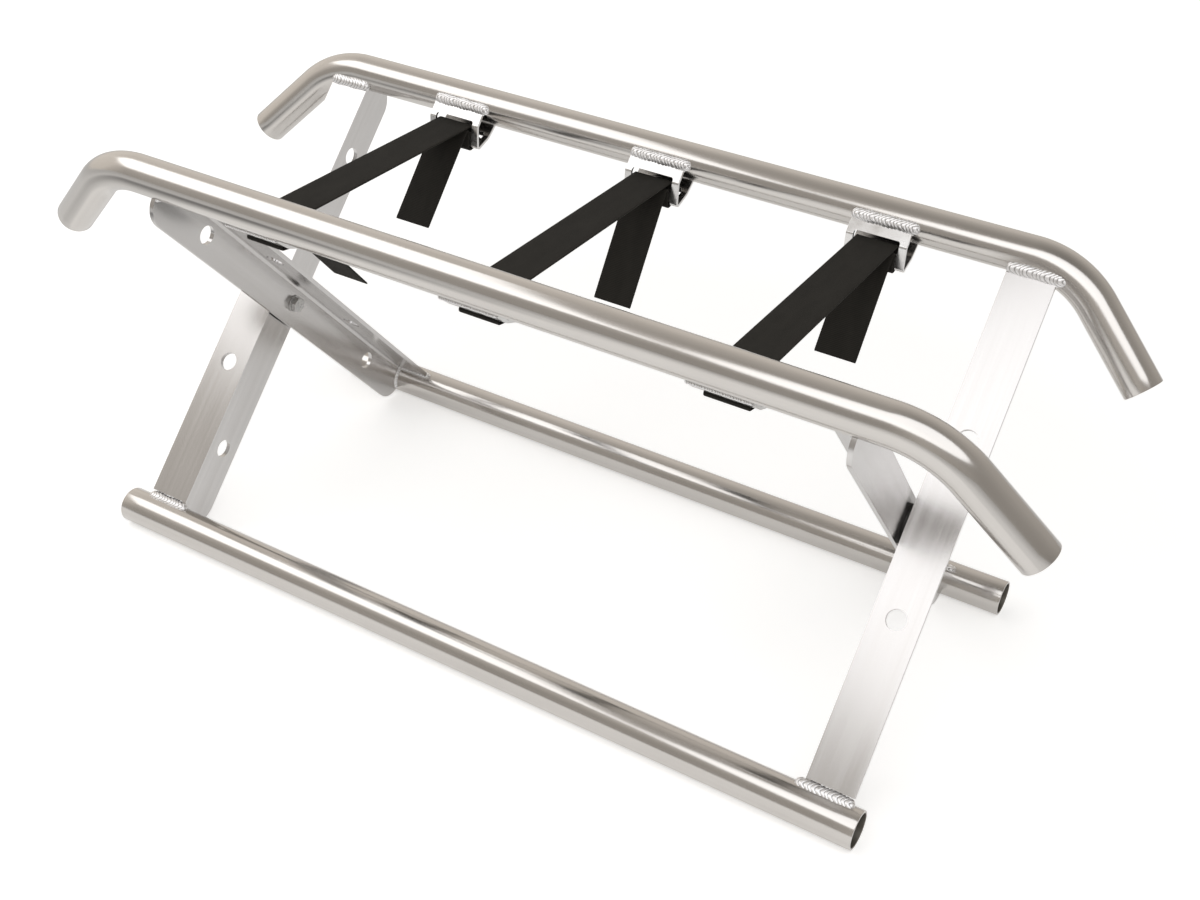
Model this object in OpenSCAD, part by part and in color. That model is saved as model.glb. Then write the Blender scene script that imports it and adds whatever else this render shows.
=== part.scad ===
// Scissor stand for a personal watercraft, in aluminium tube and angle.
// Two welded frames cross at a bolt on each side. Three webbing straps between
// the top rails stop the frames from opening further and carry the hull.
// X runs along the rails, Y across the stand and Z up. The floor is at z = 0,
// and the middle of the stand is at x = 0 and y = 0.

/* [Tubes] */
// Outside diameter of the top rails and the foot tubes
tube_d = 48.3; // [46:0.1:50]
// Wall of the tubes
tube_wall = 3.2; // [2:0.1:4]
// Length of each foot tube
foot_len = 1108; // [1080:1:1180]
// How far the foot tubes sit off the middle, towards the left end
foot_shift = 8; // [0:1:12]

/* [Rail ends] */
// Distance from the middle to where the bent end's axis meets the rail's axis
rail_corner_x = 543.7; // [540:0.1:560]
// Angle through which each rail end is bent down
rail_bend = 45.8; // [40:0.1:50]
// Radius of that bend at the tube's axis
rail_bend_r = 120; // [100:1:140]
// Lean of the bent end inwards from straight down
rail_splay = 15; // [10:1:20]
// Length of the bent end, from that corner to the open end of the tube
rail_end_len = 161.8; // [150:0.1:180]

/* [Legs] */
// Angle of the legs from the floor with the stand open
leg_angle = 47.3; // [45:0.1:50]
// Distance along a leg between the axes of its rail and its foot tube
leg_pitch = 694; // [670:1:710]
// Width of both legs of the angle section
angle_w = 60; // [58:1:64]
// Thickness of the angle section
angle_t = 6; // [5:0.5:7]
// Radius in the inside corner of the angle section
angle_root_r = 6; // [3:1:8]
// Height of the angle's outer face above the plane of the two tube axes
angle_rise = 12; // [10:0.5:14]
// Distance from the middle to the web of an outer leg
outer_web_x = 471.5; // [460:0.5:480]
// Gap between the webs of an outer and an inner leg
web_gap = 5; // [4:0.5:6]
// Diameter of the lightening holes
hole_d = 25.4; // [20:0.1:28]
// Distance from the pivot to each hole in the web
web_hole_at = 227; // [210:1:240]
// Distance from the pivot to each hole in the flange
flange_hole_at = 111.5; // [100:0.5:130]

/* [Pivot] */
// Diameter of the pivot bolts
bolt_d = 12; // [10:1:14]
// Clearance between a bolt and its holes, on the radius
bolt_clearance = 0.05; // [0.02:0.01:0.1]
// Size of the hexagons across the flats
hex_flats = 19; // [17:1:21]
// Height of a bolt head
head_h = 7.5; // [6:0.5:9]
// Height of a lock nut, with its collar
nut_h = 12; // [11:0.5:14]
// Diameter of the spacer between the webs
spacer_d = 50; // [40:1:54]
// Diameter of the washers under the head and the nut
washer_d = 24; // [22:1:28]
// Thickness of those washers
washer_t = 2.5; // [2:0.1:3]

/* [Strap brackets] */
// Width of a bracket along its rail
bracket_w = 79; // [77:1:88]
// Thickness of a bracket's sheet
sheet_t = 4; // [3:0.5:4]
// Distance between the brackets along a rail
bracket_pitch = 312; // [300:1:330]
// Width of the webbing slots
slot_w = 60; // [58:1:61]
// Height of the front slot
front_slot_h = 15; // [13:0.5:16]

/* [Straps] */
// Width of the webbing
strap_w = 55; // [52:1:56]
// Thickness of the webbing
strap_t = 2.4; // [2:0.1:2.6]

/* [Hidden] */
$fn = 64;

tube_r = tube_d / 2;
bore_r = tube_r - tube_wall;
half_pitch = leg_pitch / 2;
// The web is centred on the pivot, so the tubes' axes lie above its middle
tube_rise = angle_w / 2 - angle_rise;
pivot_z = tube_r + half_pitch * sin(leg_angle) - tube_rise * cos(leg_angle);
rail_y = half_pitch * cos(leg_angle) - tube_rise * sin(leg_angle);
rail_z = pivot_z + half_pitch * sin(leg_angle) + tube_rise * cos(leg_angle);
foot_y = half_pitch * cos(leg_angle) + tube_rise * sin(leg_angle);

// The straight run of a rail ends where its bend starts
bend_reach = rail_bend_r * tan(rail_bend / 2);
bend_x = rail_corner_x - bend_reach;
// The wall is a hair thinner round the bend, which runs this many degrees on
// into the straight tube
bend_thinning = 0.02;
bend_lap = 0.4;

inner_web_x = outer_web_x - web_gap;
// Each web end is a half round, and each flange stops short of the tube
web_end_at = half_pitch - 37;
flange_end_at = half_pitch - 31;
// Root gap between a tube and what is welded to it
root_gap = 0.15;
cope_r = tube_r + root_gap;

// Arc along which the round end of a web meets its tube
cope_dy = half_pitch - web_end_at;
cope_c = norm([cope_dy, tube_rise]);
cope_mid = 180 + atan2(tube_rise, cope_dy);
cope_half = acos((pow(cope_c, 2) + pow(tube_r, 2) - pow(angle_w / 2, 2)) / (2 * cope_c * tube_r));
web_weld_r = 3;
flange_weld_r = 5.5;
bracket_weld_r = 4.5;
under_weld_r = 2.5;

// Stack along the pivot bolt, outwards from its head
face_gap = 0.1;
washer_bore_r = bolt_d / 2 + 0.4;
head_washer_x = inner_web_x - angle_t - face_gap - washer_t;
nut_washer_x = outer_web_x + angle_t;
nut_end_x = nut_washer_x + washer_t + nut_h;
bolt_end_x = nut_end_x + 3;
nut_collar_h = 4;
nut_collar_d = 17;
ring_h = 2.6;

// Bracket, seen along the rail: x is the distance inwards from the rail's
// axis and y the height above it. These points run along the sheet's middle,
// from the weld on the rail's inner side, down, and back up under the rail.
bracket_line = [[20, 5.5], [38.5, -17], [38.5, -50], [13, -40.5], [-6, -25]];
bracket_radii = [4, 4, 14];
// The front slot reaches over the first fold
front_slot_z = -19;
under_slot_from = 10;
under_slot_to = 29;
slot_corner_r = 3;
bracket_x = [-bracket_pitch, 0, bracket_pitch];
// The bead on the rail's crown runs on past both ends of its bracket
bracket_bead_len = bracket_w + 7;

// Strap end, in the bracket's terms: in at the front slot, down behind the
// bar, out of the slot below, round the bar's corner and up its front, where
// the spare end turns over and hangs down inside the stand.
strap_z = -19;
strap_loop = [[31.5, strap_z], [31.5, -33.5], [9, -47.8], [42.4, -53.8], [42.4, -17.4]];
strap_radii = [4, 3, 3, 5.5, 3.2];
strap_x = bracket_x;
// Fall in degrees and length of the spare end at the outer frame's rail
far_tail = [[50, 150], [60, 168], [56, 147]];
// The same at the inner frame's rail
near_tail = [[48, 192], [50, 95], [50, 95]];
arc_steps = 6;
FAR = 1;
NEAR = -1;

polished = [0.80, 0.79, 0.77];
satin = [0.72, 0.70, 0.67];
bead = [0.88, 0.88, 0.87];
steel = [0.62, 0.62, 0.64];
black = [0.07, 0.07, 0.07];

function unit(v) = v / norm(v);

// Unit vectors turned evenly from a to b
function turned(a, b) =
    let (sweep = acos(a * b))
    [for (k = [0:arc_steps])
        (a * sin(sweep * (1 - k / arc_steps)) + b * sin(sweep * k / arc_steps)) / sin(sweep)];

// Arc of radius r that rounds the corner at q between p and s
function corner(p, q, s, r) =
    let (u = unit(p - q), v = unit(s - q), half = acos(u * v) / 2,
         centre = q + unit(u + v) * r / sin(half), reach = r / tan(half))
    [for (d = turned(unit(q + u * reach - centre), unit(q + v * reach - centre))) centre + r * d];

// The path with an arc at each corner between its two ends
function rounded(path, radii) =
    let (last = len(path) - 1)
    concat([path[0]],
           [for (i = [1:last - 1]) each corner(path[i - 1], path[i], path[i + 1], radii[i - 1])],
           [path[last]]);

function reversed(list) = [for (i = [len(list) - 1:-1:0]) list[i]];

// Left normal of the path at its point i
function normal_at(path, i) =
    let (last = len(path) - 1,
         run = unit(path[min(i + 1, last)] - path[max(i - 1, 0)]))
    [-run.y, run.x];

// Outline of a strip of thickness t laid along the path
function strip(path, t) =
    let (left = [for (i = [0:len(path) - 1]) path[i] + normal_at(path, i) * t / 2],
         right = [for (i = [0:len(path) - 1]) path[i] - normal_at(path, i) * t / 2])
    concat(left, reversed(right));

// Route of one strap end with its spare end, from the slot outwards, as y and z
function strap_end(side, tail) =
    let (turn = strap_loop[len(strap_loop) - 1],
         tip = turn + tail[1] * [cos(tail[0]), -sin(tail[0])])
    [for (p = concat(strap_loop, [tip])) [side * (rail_y - p.x), rail_z + p.y]];

// Puts children drawn about the pivot, with the leg along Y, into a frame
module outer_frame() {
    translate([0, 0, pivot_z]) rotate([leg_angle, 0, 0]) children();
}

module inner_frame() {
    mirror([0, 1, 0]) outer_frame() children();
}

module left_side() {
    mirror([1, 0, 0]) children();
}

// Section of a tube, with its wall made thinner on both sides by less
module tube_ring(less = 0) {
    difference() {
        circle(r = tube_r - less);
        circle(r = bore_r + less);
    }
}

// Bent end of a rail, from the bend's start at the origin, running out along +X
module rail_end() {
    translate([0, 0, -rail_bend_r]) rotate([90, 0, 0]) rotate([0, 0, 90 - rail_bend - bend_lap])
        rotate_extrude(angle = rail_bend + 2 * bend_lap)
            translate([rail_bend_r, 0]) tube_ring(bend_thinning);
    translate([rail_bend_r * sin(rail_bend), 0, -rail_bend_r * (1 - cos(rail_bend))])
        rotate([0, 90 + rail_bend, 0]) linear_extrude(rail_end_len - bend_reach) tube_ring();
}

module top_rail() {
    translate([-bend_x, rail_y, rail_z]) rotate([0, 90, 0]) linear_extrude(2 * bend_x) tube_ring();
    for (side = [0, 1]) mirror([side, 0, 0])
        translate([bend_x, rail_y, rail_z]) rotate([-rail_splay, 0, 0]) rail_end();
}

module bottom_tube() {
    translate([-foot_shift - foot_len / 2, -foot_y, tube_r]) rotate([0, 90, 0])
        linear_extrude(foot_len) tube_ring();
}

// Rod along X through the tube at the top or bottom end of a leg
module tube_line(end, r) {
    translate([-1, end * half_pitch, tube_rise]) rotate([0, 90, 0]) cylinder(r = r, h = angle_w + 2);
}

module hole_through_web(at, r) {
    translate([-1, at, 0]) rotate([0, 90, 0]) cylinder(r = r, h = angle_t + 2);
}

// Angle section about the pivot, with its web on x = 0 and its flange out to +X.
// One leg has lightening holes in its flange alone.
module angle_leg(web_holes = true) {
    difference() {
        union() {
            rotate([90, 0, 90]) linear_extrude(angle_t) {
                square([2 * web_end_at, angle_w], center = true);
                for (end = [-1, 1]) translate([end * web_end_at, 0]) circle(d = angle_w);
            }
            translate([0, -flange_end_at, angle_w / 2 - angle_t])
                cube([angle_w, 2 * flange_end_at, angle_t]);
            translate([angle_t, 0, angle_w / 2 - angle_t]) rotate([90, 0, 0])
                linear_extrude(2 * web_end_at, center = true) difference() {
                    translate([0, -angle_root_r]) square(angle_root_r);
                    translate([angle_root_r, -angle_root_r]) circle(r = angle_root_r);
                }
        }
        for (end = [-1, 1]) {
            tube_line(end, cope_r);
            if (web_holes) hole_through_web(end * web_hole_at, hole_d / 2);
            translate([angle_w / 2, end * flange_hole_at, 0]) cylinder(d = hole_d, h = angle_w);
        }
        hole_through_web(0, bolt_d / 2 + bolt_clearance);
    }
}

module outer_leg() {
    outer_frame() translate([outer_web_x, 0, 0]) angle_leg();
}

module inner_leg(web_holes = true) {
    inner_frame() translate([inner_web_x, 0, 0]) mirror([1, 0, 0]) angle_leg(web_holes);
}

// Weld bead along X with round ends
module bead_along_x(length, r) {
    translate([r, 0, 0]) rotate([0, 90, 0]) cylinder(r = r, h = length - 2 * r);
    translate([r, 0, 0]) sphere(r = r);
    translate([length - r, 0, 0]) sphere(r = r);
}

// Beads at both ends of an angle leg: over the flange's end and round the web
module angle_welds() {
    for (end = [-1, 1]) {
        translate([0, end * (flange_end_at + 4.5), angle_w / 2 - 2])
            bead_along_x(angle_w, flange_weld_r);
        mirror([0, end < 0 ? 1 : 0, 0])
            translate([angle_t, half_pitch, tube_rise]) rotate([90, 0, 90])
                rotate([0, 0, cope_mid - cope_half]) rotate_extrude(angle = 2 * cope_half)
                    translate([tube_r, 0]) circle(r = web_weld_r);
    }
}

module outer_welds_right() {
    outer_frame() translate([outer_web_x, 0, 0]) angle_welds();
}

module inner_welds_right() {
    inner_frame() translate([inner_web_x, 0, 0]) mirror([1, 0, 0]) angle_welds();
}

// Puts children, drawn along the rail at x from the bracket's own drawing, at
// the outer frame's rail
module at_rail(x) {
    translate([x, rail_y, rail_z]) mirror([0, 1, 0]) children();
}

module slot_shape(w, h) {
    square([w - 2 * slot_corner_r, h], center = true);
    square([w, h - 2 * slot_corner_r], center = true);
    for (i = [-1, 1], j = [-1, 1])
        translate([i * (w / 2 - slot_corner_r), j * (h / 2 - slot_corner_r)]) circle(r = slot_corner_r);
}

module bracket(x) {
    front = bracket_line[1].x;
    under_mid = (under_slot_from + under_slot_to) / 2;
    at_rail(x) difference() {
        rotate([90, 0, 90]) linear_extrude(bracket_w, center = true)
            polygon(strip(rounded(bracket_line, bracket_radii), sheet_t));
        rotate([0, 90, 0]) cylinder(r = cope_r, h = bracket_w + 2, center = true);
        translate([0, front + sheet_t, front_slot_z]) rotate([90, 0, 0])
            linear_extrude(3 * sheet_t) slot_shape(slot_w, front_slot_h);
        translate([0, under_mid, bracket_line[2].y - 2 * sheet_t])
            linear_extrude(8 * sheet_t) slot_shape(slot_w + 2, under_slot_to - under_slot_from);
    }
}

module bracket_welds() {
    for (x = bracket_x) at_rail(x) {
        translate([-bracket_bead_len / 2, 25.9, 2.4]) bead_along_x(bracket_bead_len, bracket_weld_r);
        translate([-bracket_w / 2, -8, -24.6]) bead_along_x(bracket_w, under_weld_r);
    }
}

module hexagon(h) {
    rotate([0, 90, 0]) cylinder(d = hex_flats / cos(30), h = h, $fn = 6);
}

module rod_x(d, h) {
    rotate([0, 90, 0]) cylinder(d = d, h = h);
}

// Bevel on the corners of a hexagon, as a cone that leaves a round outer face
module hex_bevel(h) {
    rotate([0, 90, 0]) cylinder(r1 = hex_flats / 2 + 2 * h, r2 = hex_flats / 2 - 0.5, h = h);
}

module pivot_bolt() {
    translate([head_washer_x - 1, 0, pivot_z]) rod_x(bolt_d, bolt_end_x - head_washer_x + 1);
    translate([head_washer_x, 0, pivot_z]) mirror([1, 0, 0]) intersection() {
        hexagon(head_h);
        hex_bevel(head_h);
    }
}

module washer_ring(x, d, t, bore_r) {
    translate([x, 0, pivot_z]) difference() {
        rod_x(d, t);
        translate([-1, 0, 0]) rod_x(2 * bore_r, t + 2);
    }
}

module pivot_nut() {
    bore = bolt_d + 2 * bolt_clearance;
    translate([nut_end_x, 0, pivot_z]) mirror([1, 0, 0]) difference() {
        union() {
            translate([nut_collar_h, 0, 0]) hexagon(nut_h - nut_collar_h);
            rod_x(nut_collar_d, nut_collar_h + 1);
        }
        translate([-1, 0, 0]) rod_x(bore, nut_h + 2);
        translate([-1, 0, 0]) rod_x(bolt_d + 3, ring_h + 1);
    }
}

// Nylon locking ring let into the nut's collar
module pivot_nut_ring() {
    washer_ring(nut_end_x - ring_h, bolt_d + 3, ring_h - 0.4, bolt_d / 2 + bolt_clearance);
}

module strap(i) {
    far = strap_end(FAR, far_tail[i]);
    near = strap_end(NEAR, near_tail[i]);
    line = rounded(concat(reversed(near), far), concat(reversed(strap_radii), strap_radii));
    translate([strap_x[i], 0, 0]) rotate([90, 0, 90])
        linear_extrude(strap_w, center = true) polygon(strip(line, strap_t));
}

module outer_top_rail() { color(polished) top_rail(); }
module outer_bottom_tube() { color(polished) bottom_tube(); }
module outer_leg_left() { color(satin) left_side() outer_leg(); }
module outer_leg_right() { color(satin) outer_leg(); }
module outer_leg_welds() {
    color(bead) {
        outer_welds_right();
        left_side() outer_welds_right();
    }
}
module outer_bracket_left() { color(polished) bracket(bracket_x[0]); }
module outer_bracket_middle() { color(polished) bracket(bracket_x[1]); }
module outer_bracket_right() { color(polished) bracket(bracket_x[2]); }
module outer_bracket_welds() { color(bead) bracket_welds(); }

module inner_top_rail() { color(polished) mirror([0, 1, 0]) top_rail(); }
module inner_bottom_tube() { color(polished) mirror([0, 1, 0]) bottom_tube(); }
module inner_leg_left() { color(satin) left_side() inner_leg(); }
module inner_leg_right() { color(satin) inner_leg(web_holes = false); }
module inner_leg_welds() {
    color(bead) {
        inner_welds_right();
        left_side() inner_welds_right();
    }
}
module inner_bracket_left() { color(polished) mirror([0, 1, 0]) bracket(bracket_x[0]); }
module inner_bracket_middle() { color(polished) mirror([0, 1, 0]) bracket(bracket_x[1]); }
module inner_bracket_right() { color(polished) mirror([0, 1, 0]) bracket(bracket_x[2]); }
module inner_bracket_welds() { color(bead) mirror([0, 1, 0]) bracket_welds(); }

module pivot_bolt_left() { color(steel) left_side() pivot_bolt(); }
module pivot_bolt_right() { color(steel) pivot_bolt(); }
module pivot_head_washer() { washer_ring(head_washer_x, washer_d, washer_t, washer_bore_r); }
module pivot_head_washer_left() { color(steel) left_side() pivot_head_washer(); }
module pivot_head_washer_right() { color(steel) pivot_head_washer(); }
module pivot_spacer() {
    washer_ring(inner_web_x + face_gap, spacer_d, web_gap - 2 * face_gap, washer_bore_r);
}
module pivot_spacer_left() { color(black) left_side() pivot_spacer(); }
module pivot_spacer_right() { color(black) pivot_spacer(); }
module pivot_nut_washer() { washer_ring(nut_washer_x, washer_d, washer_t, washer_bore_r); }
module pivot_nut_washer_left() { color(steel) left_side() pivot_nut_washer(); }
module pivot_nut_washer_right() { color(steel) pivot_nut_washer(); }
module pivot_nut_left() { color(steel) left_side() pivot_nut(); }
module pivot_nut_right() { color(steel) pivot_nut(); }
module pivot_nut_ring_left() { color(black) left_side() pivot_nut_ring(); }
module pivot_nut_ring_right() { color(black) pivot_nut_ring(); }

module strap_left() { color(black) strap(0); }
module strap_middle() { color(black) strap(1); }
module strap_right() { color(black) strap(2); }

outer_top_rail();
outer_bottom_tube();
outer_leg_left();
outer_leg_right();
outer_leg_welds();
outer_bracket_left();
outer_bracket_middle();
outer_bracket_right();
outer_bracket_welds();
inner_top_rail();
inner_bottom_tube();
inner_leg_left();
inner_leg_right();
inner_leg_welds();
inner_bracket_left();
inner_bracket_middle();
inner_bracket_right();
inner_bracket_welds();
pivot_bolt_left();
pivot_bolt_right();
pivot_head_washer_left();
pivot_head_washer_right();
pivot_spacer_left();
pivot_spacer_right();
pivot_nut_washer_left();
pivot_nut_washer_right();
pivot_nut_left();
pivot_nut_right();
pivot_nut_ring_left();
pivot_nut_ring_right();
strap_left();
strap_middle();
strap_right();
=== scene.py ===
"""Personal watercraft scissor stand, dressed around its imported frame.

Two welded aluminium frames cross at a bolt on each side, and three webbing straps
join their top rails. Lengths are metres, X runs along the rails, Y across the stand
and Z up, and the floor is at z = 0.
"""

import logging
import math
from abc import ABC, abstractmethod
from dataclasses import dataclass
from enum import Enum

import bmesh
import bpy
import numpy as np
from mathutils import Matrix


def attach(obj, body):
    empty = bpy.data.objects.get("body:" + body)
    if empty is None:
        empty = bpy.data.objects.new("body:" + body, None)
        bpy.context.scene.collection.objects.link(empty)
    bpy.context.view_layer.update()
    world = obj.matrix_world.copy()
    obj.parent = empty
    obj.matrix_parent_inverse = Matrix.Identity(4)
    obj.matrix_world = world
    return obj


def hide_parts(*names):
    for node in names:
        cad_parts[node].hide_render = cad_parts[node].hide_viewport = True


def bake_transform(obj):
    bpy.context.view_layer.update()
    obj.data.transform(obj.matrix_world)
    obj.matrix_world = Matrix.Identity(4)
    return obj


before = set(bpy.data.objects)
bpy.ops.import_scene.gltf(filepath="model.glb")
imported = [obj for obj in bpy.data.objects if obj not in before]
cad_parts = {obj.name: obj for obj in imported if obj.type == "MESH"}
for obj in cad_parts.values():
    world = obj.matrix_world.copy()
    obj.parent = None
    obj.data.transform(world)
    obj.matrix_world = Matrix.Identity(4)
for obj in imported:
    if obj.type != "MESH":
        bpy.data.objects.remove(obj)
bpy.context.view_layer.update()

LOG = logging.getLogger("scissor_stand")
MM = 0.001
TURN = 2 * math.pi
WHITE = (1, 1, 1, 1)
BLACK = (0, 0, 0, 1)
# Edges sharper than this stay crisp where a surface is shaded smooth
CRISP_ANGLE = math.radians(38)
# Points on the quarter circle that eases an edge
EDGE_POINTS = 5
# Points on the path of a weld bead
PATH_POINTS = 60

Piece = bpy.types.Object
Material = bpy.types.Material
Socket = bpy.types.NodeSocket
Amount = float | Socket
Colour = tuple | Socket


class Side(Enum):
    """End of the stand along X."""

    LEFT = -1
    RIGHT = 1


class Rail(Enum):
    """Side of the stand, across Y, on which a frame carries its top rail."""

    FAR = 1
    NEAR = -1


class Position(Enum):
    """Place of a bracket and its strap along the rails."""

    LEFT = -1
    MIDDLE = 0
    RIGHT = 1


@dataclass(frozen=True)
class StandSizes:
    """Driving sizes of the stand, and the places that follow from them.

    Attributes:
        tube_r: Outer radius of every tube.
        tube_wall: Its wall.
        foot_len: Length of a foot tube.
        foot_shift: How far the foot tubes' middles are to the left.
        rail_corner_x: Distance from the middle to the corner of a top rail's bend.
        rail_bend: Angle of the bend.
        rail_bend_r: Radius of the bend's axis.
        rail_splay: Lean of the bent ends inwards.
        rail_end_len: Length from the bend's corner to the rail's end.
        leg_angle: Rise of the legs from the floor.
        leg_pitch: Distance along a leg between the axes of its two tubes.
        angle_w: Width of a leg's web and of its flange.
        angle_t: Thickness of both.
        angle_rise: Depth of the tubes' axes below the flange's outer face.
        outer_web_x: Distance from the middle to the inner side of an outer leg's web.
        web_gap: Gap between the two webs on one side of the stand.
        bracket_w: Width of a bracket along its rail.
        bracket_pitch: Distance between brackets.
    """

    tube_r: float = 24.15 * MM
    tube_wall: float = 3.2 * MM
    foot_len: float = 1108 * MM
    foot_shift: float = 8 * MM
    rail_corner_x: float = 543.7 * MM
    rail_bend: float = math.radians(45.8)
    rail_bend_r: float = 120 * MM
    rail_splay: float = math.radians(15)
    rail_end_len: float = 161.8 * MM
    leg_angle: float = math.radians(47.3)
    leg_pitch: float = 694 * MM
    angle_w: float = 60 * MM
    angle_t: float = 6 * MM
    angle_rise: float = 12 * MM
    outer_web_x: float = 471.5 * MM
    web_gap: float = 5 * MM
    bracket_w: float = 79 * MM
    bracket_pitch: float = 312 * MM

    @property
    def bore_r(self) -> float:
        """Inner radius of the tubes."""
        return self.tube_r - self.tube_wall

    @property
    def half_pitch(self) -> float:
        """Distance along a leg from the pivot to a tube's axis."""
        return self.leg_pitch / 2

    @property
    def tube_rise(self) -> float:
        """Height of the tubes' axes above the middle of a leg's web."""
        return self.angle_w / 2 - self.angle_rise

    @property
    def pivot_z(self) -> float:
        """Height of the pivot above the floor."""
        along = self.half_pitch * math.sin(self.leg_angle)
        return self.tube_r + along - self.tube_rise * math.cos(self.leg_angle)

    @property
    def rail_y(self) -> float:
        """Distance of a top rail's axis from the middle of the stand."""
        across = self.half_pitch * math.cos(self.leg_angle)
        return across - self.tube_rise * math.sin(self.leg_angle)

    @property
    def rail_z(self) -> float:
        """Height of the top rails' axes."""
        along = self.half_pitch * math.sin(self.leg_angle)
        return self.pivot_z + along + self.tube_rise * math.cos(self.leg_angle)

    @property
    def foot_y(self) -> float:
        """Distance of a foot tube's axis from the middle of the stand."""
        across = self.half_pitch * math.cos(self.leg_angle)
        return across + self.tube_rise * math.sin(self.leg_angle)

    @property
    def inner_web_x(self) -> float:
        """Distance of an inner leg's web from the middle of the stand."""
        return self.outer_web_x - self.web_gap


SIZES = StandSizes()


def from_leg(points: np.ndarray, rail: Rail) -> np.ndarray:
    """Puts points drawn about the pivot, with the leg along Y, into a frame.

    The turn about X by the leg's angle a is y cos a - z sin a and y sin a + z cos a,
    raised by the pivot's height. The inner frame is the mirror image in Y.

    Args:
        points: Rows of x, y and z with z square to the leg.
        rail: Side of the frame's top rail.

    Returns:
        The rows in the stand's frame.
    """
    c, s = math.cos(SIZES.leg_angle), math.sin(SIZES.leg_angle)
    y = points[..., 1] * c - points[..., 2] * s
    z = points[..., 1] * s + points[..., 2] * c + SIZES.pivot_z
    return np.stack([points[..., 0], rail.value * y, z], axis=-1)


def unit(vectors: np.ndarray) -> np.ndarray:
    """Scales each row to length 1."""
    return vectors / np.linalg.norm(vectors, axis=-1, keepdims=True)


def run_along(points: np.ndarray) -> np.ndarray:
    """Returns the distance of each point along its polyline."""
    steps = np.linalg.norm(np.diff(points, axis=0), axis=1)
    return np.concatenate([[0.0], np.cumsum(steps)])


def read_at(rows: np.ndarray, along: np.ndarray, marks: np.ndarray) -> np.ndarray:
    """Reads rows that are known at some distances at other distances between them."""
    return np.stack([np.interp(marks, along, rows[:, k]) for k in range(rows.shape[1])], axis=1)


def round_angles(columns: int) -> np.ndarray:
    """Returns the angles of evenly spaced points round a circle."""
    return np.arange(columns) * TURN / columns


def rounded_path(points: np.ndarray, radii: list[float], steps: int) -> np.ndarray:
    """Rounds the corners of a polyline with arcs.

    At a corner q, the arc's centre lies on the corner's bisector at r / sin(half),
    and its points turn evenly about it from one touching point to the other.

    Args:
        points: Corners and ends of the polyline, in a plane.
        radii: Radius at each corner.
        steps: Number of steps in each arc.

    Returns:
        The rounded polyline.
    """
    pieces = [points[:1]]
    t = np.linspace(0, 1, steps + 1)[:, None]
    for before, q, after, r in zip(points[:-2], points[1:-1], points[2:], radii):
        u, v = unit(before - q), unit(after - q)
        half = math.acos(float(u @ v)) / 2
        centre = q + unit(u + v) * r / math.sin(half)
        a = unit(q + u * r / math.tan(half) - centre)
        b = unit(q + v * r / math.tan(half) - centre)
        sweep = math.acos(float(a @ b))
        turned = a * np.sin(sweep * (1 - t)) + b * np.sin(sweep * t)
        pieces.append(centre + r * turned / math.sin(sweep))
    pieces.append(points[-1:])
    return np.concatenate(pieces)


@dataclass
class Surface:
    """Grid of points over two parameters, with its place along the piece.

    Attributes:
        points: Array of rows, columns and x, y, z.
        lay: Array of the same shape that holds the pattern's own coordinates.
        rows_closed: Whether the last row joins the first.
    """

    points: np.ndarray
    lay: np.ndarray
    rows_closed: bool = False

    def quads(self) -> np.ndarray:
        """Numbers the corners of each face, with the columns closed round the surface.

        Returns:
            Four point numbers for each face, in the order that makes it face outwards.
        """
        rows, cols = self.points.shape[:2]
        last = rows if self.rows_closed else rows - 1
        i, j = np.meshgrid(np.arange(last), np.arange(cols), indexing="ij")
        i, j = i.ravel(), j.ravel()
        ni, nj = (i + 1) % rows, (j + 1) % cols
        faces = np.stack([i * cols + j, ni * cols + j, ni * cols + nj, i * cols + nj], axis=1)
        return faces if self.volume(faces) > 0 else faces[:, ::-1]

    def volume(self, faces: np.ndarray) -> float:
        """Sums the signed volumes of the cones from the middle to each face.

        Args:
            faces: Corners of each face.

        Returns:
            Six times the volume, above zero where the faces point outwards.
        """
        p = self.points.reshape(-1, 3)
        p = p - p.mean(axis=0)
        a, b, c, d = (p[faces[:, k]] for k in range(4))
        first = np.einsum("ij,ij->i", a, np.cross(b, c)).sum()
        return float(first + np.einsum("ij,ij->i", a, np.cross(c, d)).sum())


def mesh_from(name: str, surfaces: list[Surface], crisp: float = CRISP_ANGLE) -> bpy.types.Mesh:
    """Joins surfaces in one mesh, closes their poles and shades them smooth.

    Args:
        name: Name of the mesh.
        surfaces: Grids whose faces already point outwards.
        crisp: Angle in radians past which an edge stays sharp.

    Returns:
        The finished mesh, with the attribute "lay" on its points.
    """
    verts, faces, lays, start = [], [], [], 0
    for surface in surfaces:
        verts.append(surface.points.reshape(-1, 3))
        lays.append(surface.lay.reshape(-1, 3))
        faces.append(surface.quads() + start)
        start += len(verts[-1])
    mesh = bpy.data.meshes.new(name)
    mesh.from_pydata(np.concatenate(verts).tolist(), [], np.concatenate(faces).tolist())
    lay = mesh.attributes.new("lay", "FLOAT_VECTOR", "POINT")
    lay.data.foreach_set("vector", np.concatenate(lays).astype(np.float32).ravel())
    tool = bmesh.new()
    tool.from_mesh(mesh)
    bmesh.ops.remove_doubles(tool, verts=tool.verts, dist=1e-7)
    tool.to_mesh(mesh)
    tool.free()
    mesh.validate()
    mesh.shade_smooth()
    mesh.set_sharp_from_angle(angle=crisp)
    return mesh


def placed(mesh: bpy.types.Mesh, material: Material) -> Piece:
    """Makes an object of a mesh, at the origin and unturned.

    Args:
        mesh: Finished mesh, which also gives the object its name.
        material: Its one material.

    Returns:
        The object, in the scene.
    """
    piece = bpy.data.objects.new(mesh.name, mesh)
    bpy.context.scene.collection.objects.link(piece)
    mesh.materials.clear()
    mesh.materials.append(material)
    return piece


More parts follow.
